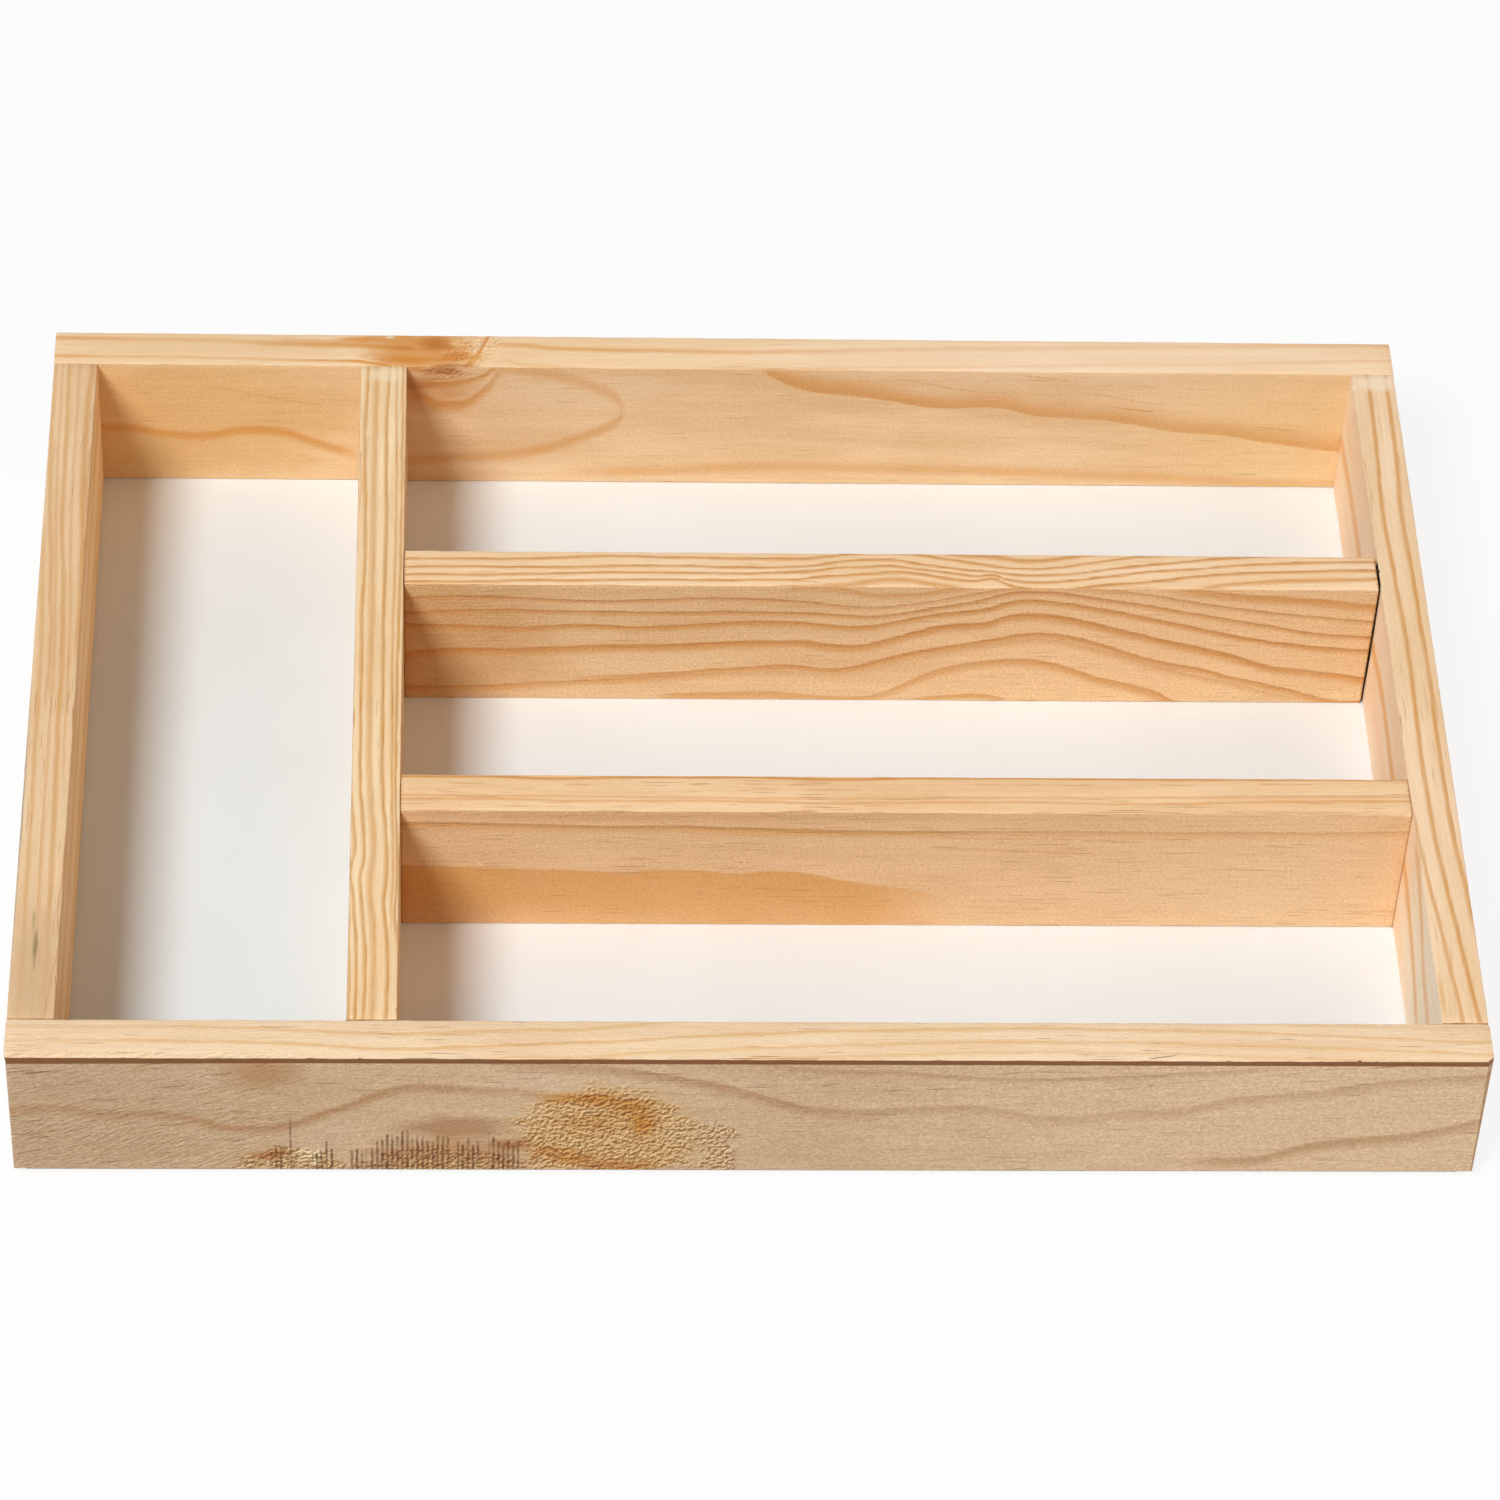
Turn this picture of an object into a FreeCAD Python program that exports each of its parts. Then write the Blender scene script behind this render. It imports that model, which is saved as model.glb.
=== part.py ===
import FreeCAD, Part
import os

# Cutlery tray: seven pine boards, butt-jointed, over a floor of white-faced hardboard.
# Lengths are in millimetres. X runs left to right, Y front to back, Z up.
# The origin is at the middle of the underside.

# Outer frame: the front and back rails run the full width, and the sides stand between them
tray_width = 350.0
tray_depth = 246.0
board_height = 42.0
rail_thickness = 12.0
side_thickness = 11.3
arris = 0.3

# Dividers: a long one from rail to rail, and two across from it to the right side
long_divider_thickness = 12.0
cross_divider_thickness = 12.0
left_cell_width = 68.2
front_row_depth = 66.3
middle_row_depth = 64.7
rear_divider_end_gap = 0.5

# Floor panel, nailed up under the boards and set back so that it doesn't show from outside
panel_thickness = 3.0
panel_inset = 3.0

# Headless pins, two through each butt joint, punched just below the surface
pin_diameter = 0.8
pin_length = 25.0
pin_point_length = 1.6
pin_point_diameter = 0.2
pin_punch_depth = 0.5
pin_edge_distance = 12.0

# Staples that hold the panel, driven up from below with their crowns flush
staple_crown = 6.0
staple_leg = 12.0
staple_wire_width = 1.2
staple_wire_thickness = 0.6
staple_bend_radius = 0.5
staple_end_distance = 24.0
rail_staples = 5
side_staples = 3
divider_staples = 3

# What a fastener's hole is larger by, on each side
hole_clearance = 0.02

# Outer faces
right_x = tray_width / 2
left_x = -right_x
back_y = tray_depth / 2
front_y = -back_y
board_low_z = panel_thickness
board_top_z = board_low_z + board_height

# Inner faces of the frame
inner_left_x = left_x + side_thickness
inner_right_x = right_x - side_thickness
inner_front_y = front_y + rail_thickness
inner_back_y = back_y - rail_thickness

# Faces of the dividers
long_divider_left_x = inner_left_x + left_cell_width
long_divider_right_x = long_divider_left_x + long_divider_thickness
front_divider_front_y = inner_front_y + front_row_depth
front_divider_back_y = front_divider_front_y + cross_divider_thickness
rear_divider_front_y = front_divider_back_y + middle_row_depth
rear_divider_back_y = rear_divider_front_y + cross_divider_thickness

# Directions
along_x = FreeCAD.Vector(1, 0, 0)
along_y = FreeCAD.Vector(0, 1, 0)
upwards = FreeCAD.Vector(0, 0, 1)


def block(low, high):
    """A plain block between two opposite corners."""
    size = high - low
    return Part.makeBox(size.x, size.y, size.z, low)


def board(x_range, y_range, length_direction):
    """A board standing on edge, with its four long arrises eased."""
    low = FreeCAD.Vector(x_range[0], y_range[0], board_low_z)
    high = FreeCAD.Vector(x_range[1], y_range[1], board_top_z)
    blank = block(low, high)
    long_edges = []
    for edge in blank.Edges:
        if edge.Curve.Direction.isParallel(length_direction, 1e-6):
            long_edges.append(edge)
    return blank.makeChamfer(arris, long_edges)


def frame_boards():
    """The four boards of the outer frame."""
    full_width = (left_x, right_x)
    between_rails = (inner_front_y, inner_back_y)
    return {
        "front_board": board(full_width, (front_y, inner_front_y), along_x),
        "back_board": board(full_width, (inner_back_y, back_y), along_x),
        "left_board": board((left_x, inner_left_x), between_rails, along_y),
        "right_board": board((inner_right_x, right_x), between_rails, along_y),
    }


def divider_boards():
    """The long divider and the two that cross from it to the right side."""
    long_x = (long_divider_left_x, long_divider_right_x)
    front_x = (long_divider_right_x, inner_right_x)
    rear_x = (long_divider_right_x, inner_right_x - rear_divider_end_gap)
    front_cross_y = (front_divider_front_y, front_divider_back_y)
    rear_cross_y = (rear_divider_front_y, rear_divider_back_y)
    return {
        "long_divider": board(long_x, (inner_front_y, inner_back_y), along_y),
        "front_cross_divider": board(front_x, front_cross_y, along_x),
        "rear_cross_divider": board(rear_x, rear_cross_y, along_x),
    }


def floor_panel():
    """The hardboard sheet under the boards."""
    low = FreeCAD.Vector(left_x + panel_inset, front_y + panel_inset, 0)
    high = FreeCAD.Vector(right_x - panel_inset, back_y - panel_inset, panel_thickness)
    return block(low, high)


def pin(surface_point, direction):
    """A headless pin, driven in the given direction from a point on the surface."""
    radius = pin_diameter / 2
    start = surface_point + direction * pin_punch_depth
    shank_length = pin_length - pin_point_length
    shank = Part.makeCylinder(radius, shank_length, start, direction)
    point_start = start + direction * shank_length
    point = Part.makeCone(radius, pin_point_diameter / 2, pin_point_length, point_start, direction)
    return shank.fuse(point).removeSplitter()


def pin_hole(surface_point, direction):
    """The hole that a pin leaves, open at the surface above its sunk end."""
    radius = pin_diameter / 2 + hole_clearance
    depth = pin_punch_depth + pin_length + hole_clearance
    return Part.makeCylinder(radius, depth, surface_point, direction)


def pin_points(x, y):
    """Where the two pins of a joint go in: one near each edge of the board."""
    low = FreeCAD.Vector(x, y, board_low_z + pin_edge_distance)
    high = FreeCAD.Vector(x, y, board_top_z - pin_edge_distance)
    return [low, high]


def pinned_joints():
    """Each butt joint: where its pins enter, their direction and the boards that they pass through."""
    left_middle_x = left_x + side_thickness / 2
    right_middle_x = right_x - side_thickness / 2
    long_middle_x = long_divider_left_x + long_divider_thickness / 2
    front_cross_middle_y = front_divider_front_y + cross_divider_thickness / 2
    rear_cross_middle_y = rear_divider_front_y + cross_divider_thickness / 2
    joints = {}
    for side, x in (("left", left_middle_x), ("right", right_middle_x)):
        held = side + "_board"
        joints["front_" + side + "_corner_pins"] = ((x, front_y), along_y, ("front_board", held))
        joints["back_" + side + "_corner_pins"] = ((x, back_y), -along_y, ("back_board", held))
    held = "long_divider"
    joints["long_divider_front_pins"] = ((long_middle_x, front_y), along_y, ("front_board", held))
    joints["long_divider_back_pins"] = ((long_middle_x, back_y), -along_y, ("back_board", held))
    for row, y in (("front", front_cross_middle_y), ("rear", rear_cross_middle_y)):
        held = row + "_cross_divider"
        entry = (long_divider_left_x, y)
        joints[held + "_left_pins"] = (entry, along_x, ("long_divider", held))
        joints[held + "_right_pins"] = ((right_x, y), -along_x, ("right_board", held))
    return joints


def staple_blank(grow):
    """A staple with its crown along X and its legs up, larger on every side by grow."""
    crown = staple_crown + 2 * grow
    width = staple_wire_width + 2 * grow
    gap = staple_crown - 2 * staple_wire_thickness - 2 * grow
    roof_z = staple_leg + grow
    outer_low = FreeCAD.Vector(-crown / 2, -width / 2, -grow)
    outer_high = FreeCAD.Vector(crown / 2, width / 2, roof_z)
    gap_low = FreeCAD.Vector(-gap / 2, -width / 2, staple_wire_thickness + grow)
    gap_high = FreeCAD.Vector(gap / 2, width / 2, roof_z)
    return block(outer_low, outer_high).cut(block(gap_low, gap_high))


def staple():
    """A staple whose wire turns over at the two ends of its crown."""
    blank = staple_blank(0.0)
    bends = []
    for edge in blank.Edges:
        across = edge.Curve.Direction.isParallel(along_y, 1e-6)
        if across and edge.BoundBox.ZMax < staple_wire_thickness / 2:
            bends.append(edge)
    return blank.makeFillet(staple_bend_radius, bends)


def spread(low, high, count):
    """Evenly spaced places along a board, clear of its two ends."""
    first = low + staple_end_distance
    last = high - staple_end_distance
    if count == 1:
        return [(first + last) / 2]
    return [first + (last - first) * index / (count - 1) for index in range(count)]


def staple_rows():
    """Each board's staples: the board, the crown's direction and the places on the underside."""
    rail_line = (panel_inset + rail_thickness) / 2
    side_line = (panel_inset + side_thickness) / 2
    long_middle_x = long_divider_left_x + long_divider_thickness / 2
    rail_places = spread(left_x, right_x, rail_staples)
    side_places = spread(inner_front_y, inner_back_y, side_staples)
    long_places = spread(inner_front_y, inner_back_y, divider_staples)
    cross_places = spread(long_divider_right_x, inner_right_x, divider_staples)
    front_cross_y = front_divider_front_y + cross_divider_thickness / 2
    rear_cross_y = rear_divider_front_y + cross_divider_thickness / 2
    return {
        "front_board": (along_x, [(x, front_y + rail_line) for x in rail_places]),
        "back_board": (along_x, [(x, back_y - rail_line) for x in rail_places]),
        "left_board": (along_y, [(left_x + side_line, y) for y in side_places]),
        "right_board": (along_y, [(right_x - side_line, y) for y in side_places]),
        "long_divider": (along_y, [(long_middle_x, y) for y in long_places]),
        "front_cross_divider": (along_x, [(x, front_cross_y) for x in cross_places]),
        "rear_cross_divider": (along_x, [(x, rear_cross_y) for x in cross_places]),
    }


def placed(shape, direction, place):
    """A copy of a staple turned so that its crown lies along the direction, at a place on the underside."""
    turned = shape.copy()
    if direction.isEqual(along_y, 1e-6):
        turned.rotate(FreeCAD.Vector(0, 0, 0), upwards, 90)
    turned.translate(FreeCAD.Vector(place[0], place[1], 0))
    return turned


def drive_pins(pieces):
    """Pin every butt joint, and leave each pin's hole in the boards that it passes through."""
    for name, (entry, direction, boards) in pinned_joints().items():
        points = pin_points(entry[0], entry[1])
        holes = Part.makeCompound([pin_hole(point, direction) for point in points])
        for board_name in boards:
            pieces[board_name] = pieces[board_name].cut(holes)
        pieces[name] = Part.makeCompound([pin(point, direction) for point in points])


def drive_staples(pieces):
    """Staple the panel to every board, and leave each staple's slot in both."""
    wire = staple()
    slot = staple_blank(hole_clearance)
    for board_name, (direction, places) in staple_rows().items():
        slots = Part.makeCompound([placed(slot, direction, place) for place in places])
        pieces["floor_panel"] = pieces["floor_panel"].cut(slots)
        pieces[board_name] = pieces[board_name].cut(slots)
        staples = [placed(wire, direction, place) for place in places]
        pieces[board_name + "_staples"] = Part.makeCompound(staples)


def tray():
    """Every piece of the tray, by the name of its node."""
    pieces = frame_boards()
    pieces.update(divider_boards())
    pieces["floor_panel"] = floor_panel()
    drive_pins(pieces)
    drive_staples(pieces)
    return pieces


def single(shape):
    """The one solid in a shape that holds only one, or else the shape itself."""
    if len(shape.Solids) == 1:
        return shape.Solids[0]
    return shape


os.makedirs("parts", exist_ok=True)
for node, shape in tray().items():
    single(shape).exportStep("parts/" + node + ".step")
    print(node, len(shape.Solids), "solids", round(shape.Volume, 1), "cubic mm")
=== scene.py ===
"""Looks of the pine cutlery tray: its boards, dividers, white floor panel and fastenings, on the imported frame."""

import logging
import math
from collections.abc import Callable
from dataclasses import dataclass
from enum import Enum
from functools import cached_property

import bmesh
import bpy
from mathutils import Matrix, Vector


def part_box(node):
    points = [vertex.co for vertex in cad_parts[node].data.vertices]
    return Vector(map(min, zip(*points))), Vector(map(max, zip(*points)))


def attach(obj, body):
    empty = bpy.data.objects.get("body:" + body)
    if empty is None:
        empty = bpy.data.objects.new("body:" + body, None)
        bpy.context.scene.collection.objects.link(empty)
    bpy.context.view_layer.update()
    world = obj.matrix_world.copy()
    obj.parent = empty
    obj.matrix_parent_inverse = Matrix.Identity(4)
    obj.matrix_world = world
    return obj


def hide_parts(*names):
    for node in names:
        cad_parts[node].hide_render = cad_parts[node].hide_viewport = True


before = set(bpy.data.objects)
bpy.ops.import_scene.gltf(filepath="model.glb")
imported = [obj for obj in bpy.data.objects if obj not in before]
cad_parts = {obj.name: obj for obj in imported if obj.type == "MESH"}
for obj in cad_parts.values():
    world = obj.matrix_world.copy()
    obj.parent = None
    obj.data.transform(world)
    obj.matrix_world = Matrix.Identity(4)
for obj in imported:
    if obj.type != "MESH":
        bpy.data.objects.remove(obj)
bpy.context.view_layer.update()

log = logging.getLogger("cutlery_tray")

MM = 0.001
BOARD_HEIGHT = 42.0
LOWEST_READING = -20.0
READING_SPAN = 120.0

Colour = tuple[float, float, float, float]
Reading = tuple[float, float]


def paint(red: int, green: int, blue: int) -> Colour:
    """Turns a colour as it is seen on screen into the linear colour that a shader takes.

    Args:
        red: Red, 0 to 255.
        green: Green, 0 to 255.
        blue: Blue, 0 to 255.

    Returns:
        The linear colour with full alpha.
    """
    def linear(value: int) -> float:
        """Undoes the screen curve for one channel."""
        part = value / 255.0
        return part / 12.92 if part <= 0.04045 else ((part + 0.055) / 1.055) ** 2.4

    return (linear(red), linear(green), linear(blue), 1.0)


class Showing(Enum):
    """The way that a board's good face looks."""

    FRONT = "towards the front"
    LEFT = "towards the left"
    RIGHT = "towards the right"


class Arris(Enum):
    """One of a board's two upper long edges."""

    GOOD = "above the good face"
    FAR = "above the hidden face"


@dataclass(frozen=True)
class GrainLine:
    """One growth line, as places (along, around) on the board's unrolled surface in millimetres.

    Around runs from 0 at the foot of the good face to 42 at its top, and on across the top.
    """

    places: tuple[Reading, ...]
    above: float = 0.45
    below: float = 1.6
    orange: float = 0.6
    dark: float = 0.5
    fade: tuple[Reading, ...] = ((0.0, 1.0), (400.0, 1.0))
    on_top: bool = False


@dataclass(frozen=True)
class Patch:
    """A soft-edged stain, knot, worn spot or patch of painted light or shade on a board, in millimetres along and
    around it.
    """

    along: float
    around: float
    half_length: float
    half_height: float
    colour: Colour
    strength: float = 0.7
    ragged: float = 0.5
    inner: float = 0.2
    under: bool = False


@dataclass(frozen=True)
class Chip:
    """A small piece broken out of an upper long edge, in millimetres."""

    along: float
    length: float
    depth: float
    arris: Arris = Arris.GOOD


class NodeBench:
    """Adds, sets and links the nodes of one material or one node group."""

    def __init__(self, tree: bpy.types.NodeTree) -> None:
        """Takes the tree that the nodes go in."""
        self.tree = tree

    def put(self, socket: bpy.types.NodeSocket, value: object) -> None:
        """Links a socket, or sets its value.

        Args:
            socket: The input socket.
            value: Another node's output, or a plain number, colour or vector.
        """
        if isinstance(value, bpy.types.NodeSocket):
            self.tree.links.new(value, socket)
        else:
            socket.default_value = value

    def node(self, kind: str, inputs: dict | None = None, **settings: object) -> bpy.types.Node:
        """Adds a node.

        Args:
            kind: The node's Blender type.
            inputs: Socket name or number to value.
            **settings: The node's own properties.

        Returns:
            The new node.
        """
        made = self.tree.nodes.new(kind)
        for name, value in settings.items():
            setattr(made, name, value)
        for name, value in (inputs or {}).items():
            self.put(made.inputs[name], value)
        return made

    def math(self, operation: str, *values: object, clamp: bool = False) -> bpy.types.NodeSocket:
        """Adds a Math node.

        Args:
            operation: The node's operation.
            *values: Its inputs in order.
            clamp: Keeps the result between 0 and 1.

        Returns:
            Its output.
        """
        made = self.node("ShaderNodeMath", dict(enumerate(values)), operation=operation, use_clamp=clamp)
        return made.outputs[0]

    def total(self, *values: object) -> bpy.types.NodeSocket:
        """Adds up any number of values.

        Args:
            *values: Sockets or numbers.

        Returns:
            Their sum.
        """
        made = values[0]
        for value in values[1:]:
            made = self.math("ADD", made, value)
        return made

    def scale(self, vector: object, by: tuple[float, float, float]) -> bpy.types.NodeSocket:
        """Multiplies a vector channel by channel."""
        made = self.node("ShaderNodeVectorMath", {0: vector, 1: by}, operation="MULTIPLY")
        return made.outputs[0]

    def noise(self, vector: object, by: tuple[float, float, float], detail: float = 2.0,
              rough: float = 0.5, twist: float = 0.0) -> bpy.types.NodeSocket:
        """Adds smooth noise over a stretched place.

        Args:
            vector: The place in millimetres.
            by: Features per millimetre along each axis.
            detail: Number of finer layers.
            rough: Strength of the finer layers.
            twist: Distortion.

        Returns:
            The noise, 0 to 1.
        """
        made = self.node("ShaderNodeTexNoise", {
            "Vector": self.scale(vector, by), "Scale": 1.0, "Detail": detail,
            "Roughness": rough, "Distortion": twist})
        return made.outputs["Fac"]

    def ease(self, value: object, start: object, end: object, low: object = 0.0,
             high: object = 1.0) -> bpy.types.NodeSocket:
        """Maps a range onto another with soft ends.

        Args:
            value: The value to map.
            start: Where the change starts.
            end: Where it ends.
            low: The result before the start.
            high: The result after the end.

        Returns:
            The eased value.
        """
        made = self.node("ShaderNodeMapRange", {
            "Value": value, "From Min": start, "From Max": end, "To Min": low, "To Max": high},
            interpolation_type="SMOOTHSTEP")
        return made.outputs["Result"]

    def line(self, value: object, start: float, end: float, low: float, high: float) -> bpy.types.NodeSocket:
        """Maps a range onto another in a straight line, clamped."""
        made = self.node("ShaderNodeMapRange", {
            "Value": value, "From Min": start, "From Max": end, "To Min": low, "To Max": high})
        return made.outputs["Result"]

    def mix(self, share: object, first: object, second: object, blend: str = "MIX") -> bpy.types.NodeSocket:
        """Mixes two colours.

        Args:
            share: How much of the second colour.
            first: The first colour.
            second: The second colour.
            blend: How they mix.

        Returns:
            The mixed colour.
        """
        made = self.node("ShaderNodeMix", data_type="RGBA", blend_type=blend)
        self.put(made.inputs[0], share)
        self.put(made.inputs[6], first)
        self.put(made.inputs[7], second)
        return made.outputs[2]

    def choose(self, share: object, first: object, second: object) -> bpy.types.NodeSocket:
        """Mixes two plain values.

        Args:
            share: How much of the second value.
            first: The first value.
            second: The second value.

        Returns:
            The mixed value.
        """
        made = self.node("ShaderNodeMix", data_type="FLOAT")
        self.put(made.inputs[0], share)
        self.put(made.inputs[2], first)
        self.put(made.inputs[3], second)
        return made.outputs[0]

    def parts(self, vector: object) -> tuple[bpy.types.NodeSocket, ...]:
        """Splits a vector into its three values."""
        return tuple(self.node("ShaderNodeSeparateXYZ", {0: vector}).outputs)

    def join(self, along: object, across: object, up: object) -> bpy.types.NodeSocket:
        """Makes a vector of three values."""
        return self.node("ShaderNodeCombineXYZ", {0: along, 1: across, 2: up}).outputs[0]

    def group(self, tree: bpy.types.NodeTree, inputs: dict) -> bpy.types.bpy_prop_collection:
        """Places a shared node group.

        Args:
            tree: The group.
            inputs: Socket name to value.

        Returns:
            The outputs of the placed group.
        """
        return self.node("ShaderNodeGroup", inputs, node_tree=tree).outputs


class SharedEffects:
    """The node groups that more than one finish uses, each built once."""

    FLOAT = "NodeSocketFloat"
    VECTOR = "NodeSocketVector"
    COLOUR = "NodeSocketColor"

    def __init__(self) -> None:
        """Builds every group."""
        self.unrolled = self.build_unrolled()
        self.grain_line = self.build_grain_line()
        self.fibre = self.build_fibre()
        self.patch = self.build_patch()
        self.planed = self.build_planed()
        self.end_grain = self.build_end_grain()
        self.edge_wear = self.build_edge_wear()
        self.specks = self.build_specks()
        self.comb = self.build_comb()

    def start(self, name: str, inputs: dict[str, str],
              outputs: dict[str, str]) -> tuple[NodeBench, bpy.types.NodeTree, dict]:
        """Starts a group with its named sockets.

        Args:
            name: The group's name.
            inputs: Input name to socket type.
            outputs: Output name to socket type.

        Returns:
            The bench, the group and its inputs by name.
        """
        tree = bpy.data.node_groups.new(name, "ShaderNodeTree")
        for label, kind in inputs.items():
            tree.interface.new_socket(label, in_out="INPUT", socket_type=kind)
        for label, kind in outputs.items():
            tree.interface.new_socket(label, in_out="OUTPUT", socket_type=kind)
        bench = NodeBench(tree)
        given = bench.node("NodeGroupInput").outputs
        return bench, tree, {label: given[label] for label in inputs}

    def end(self, bench: NodeBench, outputs: dict) -> bpy.types.NodeTree:
        """Links a group's outputs and gives the group."""
        bench.node("NodeGroupOutput", outputs)
        return bench.tree

    def build_unrolled(self) -> bpy.types.NodeTree:
        """Builds the group that turns a place on a board into a place along and around it.

        Returns:
            The group.
        """
        bench, _, given = self.start(
            "Unrolled Board",
            {"Board Point": self.VECTOR, "Thickness": self.FLOAT, "Shift": self.FLOAT},
            {"Along": self.FLOAT, "Around": self.FLOAT, "Grain Point": self.VECTOR, "Top": self.FLOAT,
             "Good": self.FLOAT})
        along, across, up = bench.parts(given["Board Point"])
        bend = bench.noise(given["Board Point"], (0.011, 0.0, 0.0), detail=1.0)
        slope = bench.math("MULTIPLY_ADD", bend, 14.0, given["Shift"])
        hidden = bench.math("GREATER_THAN", across, bench.math("MULTIPLY", given["Thickness"], 0.55))
        far = bench.math("MULTIPLY_ADD", up, 0.94, slope)
        face = bench.choose(hidden, up, far)
        under = bench.math("LESS_THAN", up, 0.3)
        cap = bench.choose(under, bench.math("ADD", across, BOARD_HEIGHT),
                           bench.total(across, slope, BOARD_HEIGHT - 8.0))
        top = bench.math("GREATER_THAN", up, BOARD_HEIGHT - 0.22)
        flat = bench.math("MAXIMUM", top, under)
        around = bench.choose(flat, face, cap)
        point = bench.join(along, bench.math("MULTIPLY_ADD", hidden, 61.0, around), across)
        good = bench.math("MAXIMUM", top, bench.math("SUBTRACT", 1.0, bench.math("MAXIMUM", hidden, under)))
        return self.end(bench, {
            "Along": along, "Around": around, "Grain Point": point, "Top": flat, "Good": good})

    def build_grain_line(self) -> bpy.types.NodeTree:
        """Builds the group that lays one growth line over those before it.

        Returns:
            The group.
        """
        bench, _, given = self.start(
            "Grain Line",
            {"Around": self.FLOAT, "Reading": self.COLOUR, "Above": self.FLOAT, "Below": self.FLOAT,
             "Orange": self.FLOAT, "Dark": self.FLOAT, "Orange So Far": self.FLOAT, "Dark So Far": self.FLOAT},
            {"Orange": self.FLOAT, "Dark": self.FLOAT})
        reading = bench.node("ShaderNodeSeparateColor", {0: given["Reading"]}).outputs
        place = bench.math("MULTIPLY_ADD", reading[0], READING_SPAN, LOWEST_READING)
        over = bench.math("SUBTRACT", given["Around"], place)
        rise = bench.math("DIVIDE", over, given["Above"])
        depth = bench.math("DIVIDE", bench.math("MULTIPLY", over, -1.0), given["Below"])
        wide = bench.math("MINIMUM", bench.ease(rise, 0.0, 1.3, 1.0, 0.0), bench.ease(depth, 0.25, 1.35, 1.0, 0.0))
        seam = bench.math("MINIMUM", bench.ease(rise, 0.0, 0.6, 1.0, 0.0), bench.ease(depth, 0.0, 0.45, 1.0, 0.0))
        band = bench.math("MULTIPLY", wide, reading[1])
        core = bench.math("MULTIPLY", band, seam)
        orange = bench.math("MAXIMUM", bench.math("MULTIPLY", band, given["Orange"], clamp=True),
                            given["Orange So Far"])
        dark = bench.math("MAXIMUM", bench.math("MULTIPLY", core, given["Dark"]), given["Dark So Far"])
        return self.end(bench, {"Orange": orange, "Dark": dark})

    def build_fibre(self) -> bpy.types.NodeTree:
        """Builds the group of fine wood detail that runs along a board.

        Returns:
            The group.
        """
        bench, _, given = self.start(
            "Pine Fibre",
            {"Grain Point": self.VECTOR, "Canals": self.FLOAT},
            {"Streak": self.FLOAT, "Fine": self.FLOAT, "Speck": self.FLOAT, "Mottle": self.FLOAT,
             "Canal": self.FLOAT, "Fray": self.FLOAT})
        point = given["Grain Point"]
        streak = bench.noise(point, (0.045, 1.15, 0.5), detail=3.0, rough=0.6)
        fine = bench.noise(point, (0.32, 3.4, 1.4), detail=2.0, rough=0.6)
        speck = bench.noise(point, (1.3, 1.9, 1.5), detail=2.0, rough=0.75)
        mottle = bench.noise(point, (0.018, 0.11, 0.05), detail=2.0, rough=0.5)
        wave = bench.noise(point, (0.05, 0.12, 0.1), detail=2.0, rough=0.55)
        fibres = bench.noise(point, (0.13, 2.1, 1.2), detail=2.0, rough=0.6)
        fray = bench.total(bench.math("MULTIPLY_ADD", wave, 2.0, -1.0),
                           bench.math("MULTIPLY_ADD", fibres, 2.4, -1.2))
        dashes = bench.noise(point, (0.065, 2.9, 1.0), detail=1.0, rough=0.4)
        crowd = bench.ease(bench.noise(point, (0.022, 0.13, 0.1), detail=1.0), 0.42, 0.62, 0.0, 1.0)
        edge = bench.math("MULTIPLY_ADD", given["Canals"], -1.0, bench.math("MULTIPLY_ADD", crowd, -0.07, 0.84))
        canal = bench.ease(dashes, edge, bench.math("ADD", edge, 0.05))
        return self.end(bench, {
            "Streak": streak, "Fine": fine, "Speck": speck, "Mottle": mottle, "Canal": canal, "Fray": fray})

    def build_patch(self) -> bpy.types.NodeTree:
        """Builds the group of one soft oval patch with a ragged edge.

        Returns:
            The group.
        """
        bench, _, given = self.start(
            "Soft Patch",
            {"Along": self.FLOAT, "Around": self.FLOAT, "Centre Along": self.FLOAT,
             "Centre Around": self.FLOAT, "Half Length": self.FLOAT, "Half Height": self.FLOAT,
             "Ragged": self.FLOAT, "Inner": self.FLOAT, "Strength": self.FLOAT},
            {"Mask": self.FLOAT})
        along = bench.math("DIVIDE", bench.math("SUBTRACT", given["Along"], given["Centre Along"]),
                           given["Half Length"])
        around = bench.math("DIVIDE", bench.math("SUBTRACT", given["Around"], given["Centre Around"]),
                            given["Half Height"])
        away = bench.node("ShaderNodeVectorMath", {0: bench.join(along, around, 0.0)},
                          operation="LENGTH").outputs["Value"]
        place = bench.join(given["Along"], given["Around"], 0.0)
        rough = bench.math("SUBTRACT", bench.noise(place, (0.12, 0.35, 1.0), detail=3.0, rough=0.6), 0.5)
        edge = bench.math("MULTIPLY_ADD", rough, given["Ragged"], away)
        mask = bench.math("MULTIPLY", bench.ease(edge, given["Inner"], 1.0, 1.0, 0.0), given["Strength"])
        return self.end(bench, {"Mask": mask})

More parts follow.
